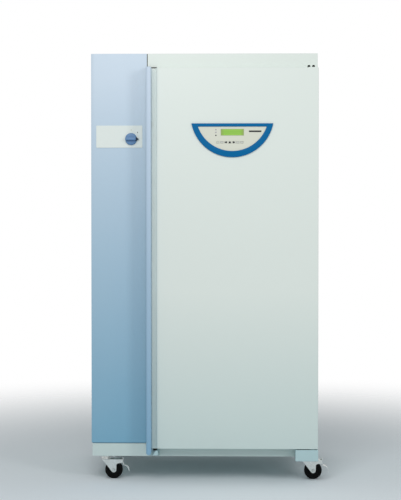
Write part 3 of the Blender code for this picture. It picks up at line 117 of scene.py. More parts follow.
# %% Values with signs
class Value:
    """One output of a node. Sums on it add Math nodes to its tree."""

    def __init__(self, graph, socket):
        self.graph = graph
        self.socket = socket

    def __add__(self, other):
        return self.graph.math("ADD", self, other)

    def __sub__(self, other):
        return self.graph.math("SUBTRACT", self, other)

    def __rsub__(self, other):
        return self.graph.math("SUBTRACT", other, self)

    def __mul__(self, other):
        return self.graph.math("MULTIPLY", self, other)

    def __truediv__(self, other):
        return self.graph.math("DIVIDE", self, other)

    __radd__ = __add__
    __rmul__ = __mul__


print("sums add Math nodes")


# %% Node trees
class Graph:
    """A node tree to which nodes are added by type, settings and the values or links of their sockets."""

    def __init__(self, tree):
        self.tree = tree

    def node(self, kind, settings, sockets, output=0):
        node = self.tree.nodes.new(kind)
        for name, setting in settings.items():
            setattr(node, name, setting)
        for name, value in sockets.items():
            for one in value if isinstance(value, list) else [value]:
                if isinstance(one, Value):
                    self.tree.links.new(one.socket, node.inputs[name])
                else:
                    node.inputs[name].default_value = one
        return Value(self, node.outputs[output]) if node.outputs else None

    def math(self, operation, *numbers):
        return self.node("ShaderNodeMath", {"operation": operation}, dict(enumerate(numbers)))

    def xyz(self, **parts):
        return self.node("ShaderNodeCombineXYZ", {}, parts)


print("one method adds the other nodes")


# %% Colours
def colour(red, green, blue):
    """A colour picked on screen, 0 to 255, as the linear light that a shader wants."""
    return tuple(
        value / 12.92 if value <= 0.04045 else ((value + 0.055) / 1.055) ** 2.4
        for value in (red / 255, green / 255, blue / 255)
    )


def darker(tone, share):
    return tuple(channel * share for channel in tone)


print("a mid grey of 128 is", round(colour(128, 128, 128)[0], 3), "in linear light")


# %% Finishes
class Finish(Graph):
    """A material whose colour, roughness and bump may change over the surface."""

    def __init__(self, name, slot, metallic=0.0, gloss=0.5, **fixed):
        self.material = bpy.data.materials.new(name)
        self.material.use_nodes = True
        super().__init__(self.material.node_tree)
        self.slot = slot
        self.shader = self.tree.nodes["Principled BSDF"]
        self.set("Metallic", metallic)
        self.set("Specular IOR Level", gloss)
        for socket, value in fixed.items():
            self.set(socket.replace("_", " "), value)
        self.place = self.node("ShaderNodeTexCoord", {}, {}, "Object")

    def set(self, socket, value):
        if isinstance(value, Value):
            self.tree.links.new(value.socket, self.shader.inputs[socket])
        else:
            self.shader.inputs[socket].default_value = value

    def axis(self, name):
        return self.node("ShaderNodeSeparateXYZ", {}, {0: self.place}, name)

    def noise(self, scale, detail=2.0, stretch=(1.0, 1.0, 1.0)):
        place = self.node("ShaderNodeMapping", {}, {"Vector": self.place, "Scale": stretch})
        return self.node("ShaderNodeTexNoise", {}, {"Vector": place, "Scale": scale, "Detail": detail}, "Fac")

    def between(self, value, low, high):
        """0 where the value is low, 1 where it is high, and even steps between."""
        return self.node("ShaderNodeMapRange", {}, {"Value": value, "From Min": low, "From Max": high})

    def mix(self, factor, first, second):
        first, second = ((*tone, 1.0) if isinstance(tone, tuple) else tone for tone in (first, second))
        return self.node("ShaderNodeMix", {"data_type": "RGBA"}, {0: factor, 6: first, 7: second}, 2)

    def bump(self, height, strength, distance):
        sockets = {"Height": height, "Strength": strength, "Distance": distance}
        self.set("Normal", self.node("ShaderNodeBump", {}, sockets))


print("finishes can change over a surface")

# %% [markdown]
# ## Powder-coated sheet steel
# Cabinet, door and base are folded steel with a baked powder coat: even from afar, but near to with a ripple like
# orange peel, a gloss that drifts, and grime close to the floor. Painted shade makes the colour darker low down and
# paler higher up. One noise would look like marble, so noises of very different size give these effects.


# %% Enamel finishes
# Painted shade is darkest below the first height. Grime starts at the second height and is full at the third.
SHADED_BELOW, GRIME_FROM, GRIME_FULL = 0.16, 0.26, 0.02


def enamel(name, slot, shaded_colour, lit_colour, fully_lit_height, roughness=0.34):
    """A powder coat with painted shade: darker at the casters, paler up to a height."""
    finish = Finish(name, slot, gloss=0.40)
    height = finish.axis("Z")
    # Painted shade: a darker tone low down and a paler tone higher up, for light that falls from above.
    painted_shade_tone = finish.mix(finish.between(height, SHADED_BELOW, fully_lit_height), shaded_colour, lit_colour)
    grime = finish.between(height, GRIME_FROM, GRIME_FULL) * finish.between(finish.noise(9.0, 4.0), 0.35, 0.75)
    painted_shade_tone = finish.mix(grime * 0.16, painted_shade_tone, darker(shaded_colour, 0.72))
    drift = finish.between(finish.noise(3.2), 0.3, 0.7)
    finish.set("Base Color", finish.mix(drift * 0.05, painted_shade_tone, darker(lit_colour, 0.90)))
    finish.set("Roughness", roughness - 0.03 + finish.noise(14.0, 3.0) * 0.08)
    finish.bump(finish.noise(620.0), 0.10, 0.0003)
    return finish


# Painted shade: the white coat made darker all over for the hinge block and the ramp, which lie in the door's shadow.
SHADED_BLOCK_TONE = colour(180, 208, 212)
# White coat, blue panel and handle carry painted shade: paler at the top, darker below, the blue panel most.
white_enamel = enamel("white powder coat", "white_enamel", colour(202, 219, 217), colour(226, 235, 230), 0.85)
shaded_block_enamel = enamel("block powder coat", "white_enamel", SHADED_BLOCK_TONE, SHADED_BLOCK_TONE, 0.85)
blue_enamel = enamel("light blue powder coat", "blue_enamel", colour(120, 173, 200), colour(201, 218, 233), 1.80, 0.30)
handle_enamel = enamel("handle powder coat", "blue_handle", colour(128, 173, 202), colour(200, 217, 234), 1.80, 0.30)
print("enamels for sheet, block, panel and handle made")

# %% [markdown]
# ## Moulded plastic, foil and rubber
# Moulded plastic carries the texture of its mould, the control foil has a very fine grain, and rubber is nearly black
# and dull. They differ only in their numbers, so they share one recipe.


# %% Plastic, foil and rubber finishes
FOIL_GRAIN = 2600.0


def moulded(name, slot, tone, roughness, grain=1800.0, relief=0.12, uneven=0.06, gloss=0.5):
    """A moulded or printed surface: an even tone with a fine grain and slightly uneven gloss."""
    finish = Finish(name, slot, gloss=gloss)
    cloud = finish.between(finish.noise(22.0, 3.0), 0.3, 0.7)
    finish.set("Base Color", finish.mix(cloud * uneven, tone, darker(tone, 0.75)))
    finish.set("Roughness", roughness - 0.04 + finish.noise(55.0, 3.0) * 0.09)
    finish.bump(finish.noise(grain), relief, 0.0002)
    return finish


deep_blue = moulded("deep blue bezel", "deep_blue_plastic", colour(2, 103, 160), 0.42, gloss=0.10)
knob_blue = moulded("grey blue knob", "grey_blue_plastic", colour(97, 138, 182), 0.36, gloss=0.40)
pointer_blue = moulded("dark knob pointer", "grey_blue_plastic", colour(40, 58, 78), 0.42, gloss=0.20)
cream_foil = moulded("cream foil", "cream_foil", colour(218, 221, 207), 0.46, FOIL_GRAIN, 0.06)
switch_foil = moulded("switch foil", "switch_foil", colour(226, 235, 231), 0.44, FOIL_GRAIN, 0.06)
key_foil = moulded("key foil", "key_foil", colour(205, 208, 200), 0.42, FOIL_GRAIN, 0.05)
pale_print = moulded("pale print", "key_foil", colour(178, 186, 158), 0.50, FOIL_GRAIN, 0.04)
grey_print = moulded("grey print", "key_foil", colour(140, 146, 140), 0.50, FOIL_GRAIN, 0.04)
dark_print = moulded("dark print", "black_plastic", colour(10, 12, 11), 0.50, FOIL_GRAIN, 0.04, gloss=0.1)
lamp_pale = moulded("unlit pale lamp", "key_foil", colour(168, 164, 176), 0.20, 900.0, 0.02)
lamp_green = moulded("unlit green lamp", "green_display", colour(12, 26, 16), 0.30, 900.0, 0.02)
black_plastic = moulded("black plastic", "black_plastic", colour(26, 27, 28), 0.48)
grey_plastic = moulded("grey plastic", "grey_plastic", colour(205, 209, 208), 0.50)
soft_seal = moulded("grey seal", "seal", colour(176, 180, 178), 0.62, 900.0, 0.20)
tyre_black = moulded("black tyre", "tyre", colour(7, 8, 9), 0.62, 700.0, 0.25, 0.30, 0.12)
rigid_foam = moulded("rigid foam", "rigid_foam", colour(226, 214, 170), 0.95, 500.0, 0.60, 0.20)
black_enamel = moulded("black compressor paint", "black_enamel", colour(28, 29, 31), 0.34, 500.0, 0.10)
grey_metal = moulded("grey machine paint", "grey_metal", colour(124, 128, 130), 0.42, 700.0, 0.12)
print("moulded finishes made")

# %% [markdown]
# ## Bare metals
# Brushed steel has long fine scratches in one direction, so its noise is stretched a hundredfold along them. Zinc
# plate shows small crystals of different tone. Both go into roughness and bump as well as colour, because it is the
# broken reflection that the eye reads as metal.


# %% Metal finishes
def brushed(name, slot, tone, stretch, roughness=0.28):
    finish = Finish(name, slot, 1.0)
    scratches = finish.noise(900.0, 2.0, stretch)
    finish.set("Base Color", finish.mix(scratches * 0.35, tone, darker(tone, 0.78)))
    finish.set("Roughness", roughness - 0.05 + scratches * 0.14)
    finish.bump(scratches, 0.08, 0.0002)
    return finish


def plated(name, slot, tone, roughness=0.27, crystal=420.0):
    finish = Finish(name, slot, 1.0)
    crystals = finish.node("ShaderNodeTexVoronoi", {}, {"Vector": finish.place, "Scale": crystal}, "Color")
    grain = finish.node("ShaderNodeSeparateColor", {}, {0: crystals})
    stain = finish.between(finish.noise(70.0, 4.0), 0.35, 0.75)
    finish.set("Base Color", finish.mix(grain * 0.25 + stain * 0.30, tone, darker(tone, 0.62)))
    finish.set("Roughness", roughness + grain * 0.08 + stain * 0.10)
    finish.bump(finish.noise(600.0, 3.0), 0.06, 0.0002)
    return finish


STEEL = colour(206, 209, 208)
steel_upright = brushed("brushed steel, upright", "stainless_steel", STEEL, (1.0, 1.0, 0.01))
steel_deep = brushed("brushed steel, front to back", "stainless_steel", STEEL, (1.0, 0.01, 1.0))
chrome_wire = plated("polished shelf wire", "stainless_steel", colour(214, 215, 214), 0.16, 300.0)
zinc_plate = plated("bright zinc plate", "zinc_steel", colour(232, 236, 234), 0.24)
fin_metal = brushed("aluminium fins", "fin_aluminium", colour(216, 217, 219), (0.02, 1.0, 1.0), 0.36)
copper = plated("copper tube", "copper", colour(214, 140, 104), 0.26, 240.0)
black_screw = plated("blackened screw", "black_plastic", colour(20, 20, 21), 0.45)
print("metal finishes made")

# %% [markdown]
# ## Glass and the lit display
# The inner door is a pane of clear safety glass. The display is a lit window with two rows of faint cells. They could
# be slabs, but sums on the place draw them in one finish: the remainder of a division tells how far a point lies
# inside its cell.

# %% Clear glass
safety_glass = Finish("clear safety glass", "safety_glass", Transmission_Weight=1.0, IOR=1.45)
smear = safety_glass.between(safety_glass.noise(6.0, 4.0), 0.4, 0.8)
safety_glass.set("Base Color", safety_glass.mix(smear * 0.2, colour(238, 248, 245), colour(226, 240, 236)))
safety_glass.set("Roughness", 0.01 + smear * 0.04)
print("glass made")

# %% Display with rows of cells
COLUMNS, ROWS, MARGIN, GAP = 16, 2, 0.006, 0.10
window = Edges("display_window")
display_green = lit = Finish("lit green display", "green_display", gloss=0.25, Emission_Strength=0.08)
across = (lit.axis("X") - (window.left + MARGIN)) / ((window.wide - 2 * MARGIN) / COLUMNS)
up = (lit.axis("Z") - (window.bottom + MARGIN)) / ((window.tall - 2 * MARGIN) / ROWS)
on_cell = 1.0
for share, count in ((across, COLUMNS), (up, ROWS)):
    part = lit.math("FRACT", share)
    in_cell = lit.math("GREATER_THAN", part, GAP) * lit.math("LESS_THAN", part, 1 - GAP)
    in_rows = lit.math("GREATER_THAN", share, 0.0) * lit.math("LESS_THAN", share, float(count))
    on_cell = in_cell * in_rows * on_cell
cells = lit.mix(on_cell * 0.5, colour(150, 198, 86), colour(130, 184, 74))
off_middle = lit.math("ABSOLUTE", across - COLUMNS / 2)
ends = lit.between(off_middle, COLUMNS / 2 - 1.6, COLUMNS / 2 + 0.6)
tone = lit.mix(ends * 0.6, cells, colour(140, 150, 92))
lit.set("Base Color", tone)
lit.set("Emission Color", tone)
lit.set("Roughness", 0.16 + lit.noise(40.0) * 0.05)
print("display window", round(window.wide, 4), "m wide")

# %% [markdown]
# ## Dressing the solids
# Where a solid has the right shape it only needs its finish, so one table does the whole job. The loop stops on a
# solid that is missing from it.

# %% Finishes of the solids
WHEEL_PLACES = ("front_left", "front_right", "rear_left", "rear_right")
PEDALS = ("front_left_brake_pedal", "front_right_brake_pedal")
FINISHES = {
    white_enamel: (
        "base_frame", "cabinet_casing", "back_panel", "top_cap", "cooling_housing", "door_liner",
        "top_hinge_bracket", "door_skin",
    ),
    # Hinge block and ramp take the white coat in painted shade.
    shaded_block_enamel: ("bottom_hinge_block", "bottom_keeper_ramp"),
    blue_enamel: ("cooling_front_panel",),
    handle_enamel: ("door_handle",),
    deep_blue: ("panel_bezel",),
    knob_blue: ("main_switch_knob",),
    cream_foil: ("panel_fascia",),
    switch_foil: ("switch_plate",),
    key_foil: tuple(f"key_{number}" for number in range(1, 8)),
    display_green: ("display_window",),
    black_plastic: ("card_reader", "mains_inlet", "top_strike_pad"),
    grey_plastic: ("front_frame", "condenser_fan"),
    soft_seal: ("door_gasket",),
    tyre_black: tuple(f"{place}_wheel" for place in WHEEL_PLACES),
    rigid_foam: ("chamber_insulation", "door_foam"),
    black_enamel: ("compressor",),
    grey_metal: ("control_box", "fan_motor", "heater_ring", "condenser_fan_shroud"),
    steel_upright: ("chamber_liner", "air_wall_left", "air_wall_right", "rear_baffle"),
    steel_deep: ("shelf_lower", "shelf_upper", "temperature_sensor"),
    zinc_plate: (*(f"{place}_caster_fork" for place in WHEEL_PLACES), *PEDALS),
    fin_metal: ("condenser", "evaporator", "circulation_fan"),
    copper: ("discharge_pipe", "suction_pipe"),
    safety_glass: ("glass_door",),
}
finish_of = {node: finish for finish, names in FINISHES.items() for node in names}
for node, solid in nodes.items():
    solid.data.materials.clear()
    solid.data.materials.append(finish_of[node].material)
print("dressed", len(finish_of), "solids")

# %% [markdown]
# ## Making and placing a piece
# Each extra piece is a mesh in its final place that rides on the body it is fixed to. One helper does the last steps
# for all: name, finish, shading broken at sharp edges, body, and the solids it stands for.


# %% Last steps of a piece
BODIES = frame["record"]["behaviour"]["bodies"]
body_of = {node: body for body, members in BODIES.items() for node in members}


def object_from(bm, name):
    mesh = bpy.data.meshes.new(name)
    bm.to_mesh(mesh)
    bm.free()
    return in_scene(name, mesh)


def closed_object(bm, name, place=Matrix()):
    """An object from closed shapes that are put in place, their faces pointing outwards."""
    bmesh.ops.transform(bm, matrix=place, verts=bm.verts)
    bmesh.ops.recalc_face_normals(bm, faces=bm.faces)
    if bm.calc_volume(signed=True) < 0:
        bmesh.ops.reverse_faces(bm, faces=bm.faces)
    return object_from(bm, name)


def plain_mesh(drawn):
    """The mesh that an object makes with all its modifiers."""
    bpy.context.view_layer.update()
    return bpy.data.meshes.new_from_object(drawn.evaluated_get(bpy.context.evaluated_depsgraph_get()))


def bake(piece):
    """Replaces a piece's modifiers by the plain mesh that they make."""
    mesh = plain_mesh(piece)
    piece.modifiers.clear()
    piece.data = mesh
    return piece


def add_piece(piece, name, finish, body, *stands_for, smooth=38):
    piece.name = name
    piece.data.name = name
    piece.data.materials.clear()
    piece.data.materials.append(finish.material)
    if smooth is not None:
        piece.data.shade_smooth()
        piece.data.set_sharp_from_angle(angle=math.radians(smooth))
    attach(piece, body)
    if stands_for:
        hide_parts(*stands_for)
    print(name, "on", body + ":", len(piece.data.polygons), "faces")


print("bodies:", len(BODIES))

# %% [markdown]
# ## Small changes of shape
# Near to, a few solids differ a little from the photograph. Their own meshes are never edited, so each gets a copy
# further on, and a function that moves the copy's points is enough. The first kind opens the two dark joints round
# the blue panel.

# %% Joints round the blue panel
SHEET = 0.0020  # a little more than the thickness of the sheet


def open_joint(node, left=0.0, foot=0.0):
    """Lets the left wall or the foot of a sheet stand back, which opens a joint there."""
    edges = Edges(node)

    def move(place):
        place.x += left if place.x < edges.left + SHEET else 0.0
        place.z += foot if place.z < edges.bottom + SHEET else 0.0

    return move


reshaped = {
    "top_cap": open_joint("top_cap", left=0.0024),
    "cooling_front_panel": open_joint("cooling_front_panel", foot=0.0022),
}
print("joints opened at", ", ".join(reshaped))

# %% [markdown]
# ## Door edge and handle
# The lever lies in a shallow groove, and the door's edge beside it is a soft shoulder, not a tight corner. Scaling
# the corner's arc to a wide ellipse keeps all its points. The lever's front is squarer than a half circle, so its
# points are pushed out to a superellipse.

# %% Shoulder, groove and lever
handle = Edges("door_handle")
NEAR = 1e-4
FACE_LEFT, CORNER = handle.right + 0.022, 0.004
SHOULDER_WIDE, SHOULDER_DEEP = 0.0144, 0.0050
GROOVE_LEFT, GROOVE_DEPTH = handle.right + 0.0003, 0.0200
FLOOR_FROM_BACK, FLOOR_LONGER, FLOOR_END = 0.0155, 0.0028, 0.0050
LEVER_LONGER, LEVER_END, SQUARENESS = 0.0042, 0.0120, 3.0


def soften_shoulder(place):
    """Widens the corner beside the finger groove, and brings the floor of the groove forward and down."""
    across, deep = place.x - FACE_LEFT - CORNER, place.y - door.front - CORNER
    radius = math.hypot(across, deep)
    if max(across, deep) < NEAR < radius < CORNER + NEAR:
        place.x = FACE_LEFT + SHOULDER_WIDE + across / radius * (SHOULDER_WIDE - CORNER + radius)
        place.y = door.front + SHOULDER_DEEP + deep / radius * (SHOULDER_DEEP - CORNER + radius)
    elif abs(place.y - door.back + FLOOR_FROM_BACK) < NEAR and GROOVE_LEFT - NEAR < place.x < FACE_LEFT + NEAR:
        place.y = door.front + GROOVE_DEPTH
        place.z -= FLOOR_LONGER if place.z < door.bottom + FLOOR_END else 0.0


def flatten_front(place):
    """Makes the round front of the lever a little squarer and its lower end longer."""
    radius = handle.wide / 2
    across, deep = place.x - handle.middle.x, place.y - handle.front - radius
    reach = math.hypot(across, deep)
    if deep < NEAR < reach:
        push = ((abs(across) / reach) ** SQUARENESS + (abs(deep) / reach) ** SQUARENESS) ** (-1 / SQUARENESS)
        place.x = handle.middle.x + across * push
        place.y = handle.front + radius + deep * push
        place.z -= LEVER_LONGER if place.z < handle.bottom + LEVER_END else 0.0


reshaped |= {"door_skin": soften_shoulder, "door_foam": soften_shoulder, "door_handle": flatten_front}
print("shoulder", SHOULDER_WIDE, "m wide, groove", GROOVE_DEPTH, "m deep")

# %% [markdown]
# ## Ramp, hinge block and brake pedals
# The ramp under the door rises further forward, the lower hinge block is bigger, and the pedals hang closer over
# their tyres. Each needs only a few of its points moved, found by where they lie.

# %% Pieces round the foot of the door
ramp = Edges("bottom_keeper_ramp")
hinge_block = Edges("bottom_hinge_block")
CREST = (-0.2668, -0.2435)
CREST_RIGHT_LOW, CREST_RIGHT_HIGH, CREST_DROP = 0.0103, 0.0072, 0.0060
RAMP_FRONT, RAMP_RIGHT, RAMP_SLOPE_FROM, RAMP_FOOT_RISE = door.front + 0.0155, -0.2338, -0.2380, 0.0085
BLOCK_WIDER, BLOCK_LOWER, BLOCK_EDGE = 0.0040, 0.0045, 0.0025
PEDAL_DROP, PEDAL_PIVOT, PEDAL_ROOT = 0.0130, 0.0135, 0.0155


def steepen_ramp(place):
    """Moves the ramp's crest to the right and its front forward, under the front of the glide."""
    low = place.z < ramp.bottom + 0.001
    if CREST[0] < place.x < CREST[1]:
        place.x += CREST_RIGHT_LOW if low else CREST_RIGHT_HIGH
        place.z -= 0.0 if low else CREST_DROP
    if place.y < ramp.front + 0.001:
        place.y = RAMP_FRONT
        if low:
            place.x = min(place.x, RAMP_RIGHT)
            place.z += RAMP_FOOT_RISE
        elif place.x > RAMP_SLOPE_FROM:
            place.x = max(place.x, RAMP_RIGHT)


def enlarge_block(place):
    """Lets the lower hinge block reach a little further to the right and down."""
    place.x += BLOCK_WIDER if place.x > hinge_block.right - BLOCK_EDGE else 0.0
    place.z -= BLOCK_LOWER if place.z < hinge_block.bottom + BLOCK_EDGE else 0.0


def lower_pedal(node):
    """Bends a brake pedal down at its root, less and less towards its end."""
    pedal = Edges(node)

    def move(place):
        if place.x > pedal.left + PEDAL_PIVOT and place.z < pedal.top - PEDAL_PIVOT:
            place.z -= PEDAL_DROP * (pedal.right - place.x) / (pedal.wide - PEDAL_ROOT)

    return move


reshaped |= {"bottom_keeper_ramp": steepen_ramp, "bottom_hinge_block": enlarge_block}
reshaped |= {pedal: lower_pedal(pedal) for pedal in PEDALS}
print("reshaped:", ", ".join(reshaped))

# %% [markdown]
# ## Soft edges on folded sheet
# Folded sheet has no sharp edges: the bend catches a thin line of light. A bevel in the shader would leave the
# outline sharp, so real faces are made. The solids are loose triangles: each copy has its doubled points merged and
# its flat triangles joined, and a Bevel modifier rounds its edges.

# %% Rounded copies of the sheet pieces
CUT_AT = {"door_skin": (handle.right + 0.0002, GROOVE_LEFT)}
HOLLOW_FACES = {"top_cap"}


def rounded_copy(node, width):
    """A copy with soft edges, after its change of shape."""
    source = nodes[node].data
    bm = bmesh.new()
    corners = [bm.verts.new(vertex.co) for vertex in source.vertices]
    for polygon in source.polygons:
        bm.faces.new([corners[index] for index in polygon.vertices])
    bmesh.ops.remove_doubles(bm, verts=bm.verts, dist=2e-5)
    bmesh.ops.dissolve_limit(bm, angle_limit=math.radians(0.8), verts=bm.verts, edges=bm.edges)
    if node in HOLLOW_FACES:
        bmesh.ops.connect_verts_concave(bm, faces=bm.faces)
    for across in CUT_AT.get(node, ()):
        whole = bm.verts[:] + bm.edges[:] + bm.faces[:]
        bmesh.ops.bisect_plane(bm, geom=whole, dist=1e-6, plane_co=(across, 0, 0), plane_no=(1, 0, 0))
    if node in reshaped:
        for corner in bm.verts:
            reshaped[node](corner.co)
    piece = object_from(bm, node + "_rounded")
    edge = piece.modifiers.new("soft edge", "BEVEL")
    edge.width = width
    edge.segments = 2
    edge.limit_method = "ANGLE"
    edge.angle_limit = math.radians(32)
    edge.use_clamp_overlap = False
    piece.data.shade_smooth()
    even = piece.modifiers.new("even shading", "WEIGHTED_NORMAL")
    even.mode = "FACE_AREA"
    even.weight = 100
    add_piece(bake(piece), node + "_rounded", finish_of[node], body_of[node], node, smooth=None)


print("solids can be copied with soft edges")

# %% Width of each piece's soft edges
EDGE_WIDTHS = {
    "base_frame": 0.0012, "cabinet_casing": 0.0006, "top_cap": 0.0006, "cooling_housing": 0.0006,
    "cooling_front_panel": 0.0010, "door_skin": 0.0006, "back_panel": 0.0004, "door_handle": 0.0004,
    "bottom_hinge_block": 0.0008, "bottom_keeper_ramp": 0.0006, "door_foam": 0.0003,
    **{pedal: 0.0004 for pedal in PEDALS},
}
for node, width in EDGE_WIDTHS.items():
    rounded_copy(node, width)

# %% [markdown]
# ## Flat pieces with rounded rims
# Bezel, thin frames and printed marks are flat shapes with an outline. A filled 2D curve makes one with any holes:
# Extrude gives the thickness and Bevel rounds the rim. It becomes a mesh before it is moved to its place, so that its
# finish reads the right coordinates.

# %% Slab from an outline
UPRIGHT = Matrix.Rotation(math.radians(90), 4, "X")


def closed_curve(name, outlines, dimensions="2D"):
    """A curve with one closed line of straight steps for each list of points."""
    curve = bpy.data.curves.new(name, "CURVE")
    curve.dimensions = dimensions
    for points in outlines:
        spline = curve.splines.new("POLY")
        spline.points.add(len(points) - 1)
        for point, place in zip(spline.points, points):
            point.co = (*Vector(place).to_3d(), 1.0)
        spline.use_cyclic_u = True
    return in_scene(name, curve)


def merged(drawn):
    """What a curve makes, with its doubled points merged. The curve itself goes."""
    bm = bmesh.new()
    mesh = plain_mesh(drawn)
    bm.from_mesh(mesh)
    bpy.data.meshes.remove(mesh)
    bpy.data.objects.remove(drawn)
    bmesh.ops.remove_doubles(bm, verts=bm.verts, dist=1e-6)
    return bm


def slab(outlines, front, back, rim=0.0):
    """A flat shape in x and z, from front to back along y, with its rim rounded."""
    drawn = closed_curve("outline", outlines)
    drawn.data.fill_mode = "BOTH"
    drawn.data.extrude = (back - front) / 2 - rim
    drawn.data.bevel_depth = rim
    drawn.data.bevel_resolution = 3
    drawn.data.offset = -rim
    return closed_object(merged(drawn), "slab", Matrix.Translation((0, (front + back) / 2, 0)) @ UPRIGHT)


print("slabs can be cut from outlines")

# %% [markdown]
# ## Bezel of the control panel
# The bezel is the lower part of a circle under a level chord, with the same form cut out for the foil. Chord and
# depth fix the circle, so one helper draws both.


# %% Half-moon bezel
def arc(across, up, radius, first, last, steps):
    """Points on an arc about a centre, between two angles in degrees."""
    turns = [math.radians(first + (last - first) * step / steps) for step in range(steps + 1)]
    return [(across + radius * math.cos(turn), up + radius * math.sin(turn)) for turn in turns]


def half_moon(middle, top, half_width, depth):
    radius = (half_width**2 + depth**2) / (2 * depth)
    half = math.degrees(math.asin(half_width / radius))
    return arc(middle, top - depth + radius, radius, -90 - half, -90 + half, 96)


bezel = Edges("panel_bezel")
fascia = Edges("panel_fascia")
LIP, BEZEL_RIM = 0.0006, 0.0018
outer = half_moon(bezel.middle.x, bezel.top, bezel.wide / 2, bezel.tall)
inner = half_moon(fascia.middle.x, fascia.top - LIP, fascia.wide / 2 - LIP, fascia.tall - 2 * LIP)
half_moon_slab = slab([outer, inner], bezel.front, bezel.back, BEZEL_RIM)
add_piece(half_moon_slab, "half_moon_bezel", deep_blue, "door", "panel_bezel")

# %% [markdown]
# ## Print on the foil
# The display sits in a thin pale frame. Three keys carry dark arrows, the others plain signs. A print is a slab a
# tenth of a millimetre high, and it rides on its own key, so that it goes in with it.

# %% Display frame
PRINT, FRAME_OUT, FRAME_IN = 0.00012, 0.0012, -0.0004


def rectangle(left, right, bottom, top):
    return [(left, bottom), (right, bottom), (right, top), (left, top)]


def grown(edges, by):
    """The front outline of a solid, grown by a width."""
    return rectangle(edges.left - by, edges.right + by, edges.bottom - by, edges.top + by)


frame_slab = slab([grown(window, FRAME_OUT), grown(window, FRAME_IN)], window.front - 0.0003, window.front + 0.0004)
add_piece(frame_slab, "display_frame", pale_print, "door")


# %% Key signs
def printed(outlines, face, name, finish, body):
    """A thin mark on a face that looks to the front."""
    add_piece(slab(outlines, face - PRINT, face + PRINT), name, finish, body)


def sign(number, outlines, finish):
    """A sign in the middle of a key, its outlines given in millimetres."""
    key = Edges(f"key_{number}")
    placed = [[(key.middle.x + x / 1000, key.middle.z + z / 1000) for x, z in points] for points in outlines]
    printed(placed, key.front, f"key_{number}_sign", finish, f"key_{number}")


FRAME_OF_KEY = [rectangle(-5.9, 5.9, -4.1, 4.1), rectangle(-5.1, 5.1, -3.3, 3.3)]
for number in (1, 2, 6, 7):
    sign(number, FRAME_OF_KEY, pale_print if number == 1 else grey_print)
ARROWS = {
    3: [(-5.4, 1.2), (-5.4, -1.2), (4.6, -4.45), (4.6, 4.45)],
    4: [(1.2, 4.45), (-1.2, 4.45), (-5.8, -4.2), (5.8, -4.2)],
    5: [(5.4, -1.2), (5.4, 1.2), (-4.6, 4.45), (-4.6, -4.45)],
}
for number, arrow in ARROWS.items():
    sign(number, [arrow], dark_print)

# %% [markdown]
# ## Status lamps
# Three small lamps stand beside the display. Each is a low lens: a sphere pressed flat, half of it in the foil.

# %% Lamps
LAMP_X, LAMP_RADIUS, LAMP_FLATNESS = window.left - 0.0222, 0.0031, 0.5
LAMPS = {"upper": (0.0112, lamp_pale), "middle": (-0.0003, lamp_pale), "lower": (-0.0135, lamp_green)}
for name, (rise, finish) in LAMPS.items():
    bm = bmesh.new()
    bmesh.ops.create_uvsphere(bm, u_segments=24, v_segments=12, radius=LAMP_RADIUS)
    place = Matrix.Translation((LAMP_X, fascia.front, window.middle.z + rise))
    bmesh.ops.transform(bm, verts=bm.verts, matrix=place @ Matrix.Diagonal((1, LAMP_FLATNESS, 1, 1)))
    add_piece(object_from(bm, "lamp"), f"status_lamp_{name}", finish, "door")

# %% [markdown]
# ## Turned shapes and blocks
# Knobs and wheels are bodies of revolution, so a section spun about the axis gives them. Blocks get bevelled edges,
# and shapes that move as one are joined.


# %% Spinning, blocks and joining
def turned(profile, place):
    """A closed or axis-to-axis profile of (radius, height) turned about the z axis, then put in its place."""
    bm = bmesh.new()
    points = [bm.verts.new((radius, 0.0, along)) for radius, along in profile]
    edges = [bm.edges.new(pair) for pair in zip(points, points[1:])]
    bmesh.ops.spin(bm, geom=points + edges, cent=(0, 0, 0), axis=(0, 0, 1), angle=2 * math.pi, steps=72)
    bmesh.ops.remove_doubles(bm, verts=bm.verts, dist=1e-6)
    bmesh.ops.dissolve_degenerate(bm, edges=bm.edges, dist=1e-7)
    return closed_object(bm, "turned", place)


def block(low, high, edge=0.0):
    bm = bmesh.new()
    low, high = Vector(low), Vector(high)
    place = Matrix.Translation((high + low) / 2) @ Matrix.Diagonal((*(high - low), 1.0))
    bmesh.ops.create_cube(bm, size=1.0, matrix=place)
    if edge:
        bmesh.ops.bevel(bm, geom=bm.edges, offset=edge, segments=3, profile=0.5, affect="EDGES")
    return object_from(bm, "block")


def joined(*pieces):
    """One mesh out of several, each shape kept closed."""
    bm = bmesh.new()
    for piece in pieces:
        bm.from_mesh(piece.data)
        bpy.data.objects.remove(piece)
    return object_from(bm, "joined")


print("turning and joining are ready")

# %% [markdown]
# ## Main switch
# The switch is a turned disc with a grip bar across it and a dark nose that points at the mark. The ring and the bar
# beside it, for off and on, are prints.

# %% Knob and pointer
knob = Edges("main_switch_knob")
KNOB_RADIUS = 0.0265
knob_x, knob_z = knob.left + KNOB_RADIUS, knob.middle.z
face = Edges("switch_plate").front
KNOB_PROFILE = [
    (0.0, 0.0003), (KNOB_RADIUS - 0.001, 0.0003), (KNOB_RADIUS, 0.0015), (KNOB_RADIUS - 0.0004, 0.0062),
    (KNOB_RADIUS - 0.0022, 0.0079), (KNOB_RADIUS - 0.006, 0.0083), (0.0, 0.0083),
]
GRIP_HALF_LONG, GRIP_HALF_HIGH, GRIP_EDGE = 0.0225, 0.0062, 0.0028
NOSE_FROM, NOSE_HALF_HIGH = 0.0212, 0.0100
NOSE_FRONT, NOSE_RIM = 0.0087, 0.0004

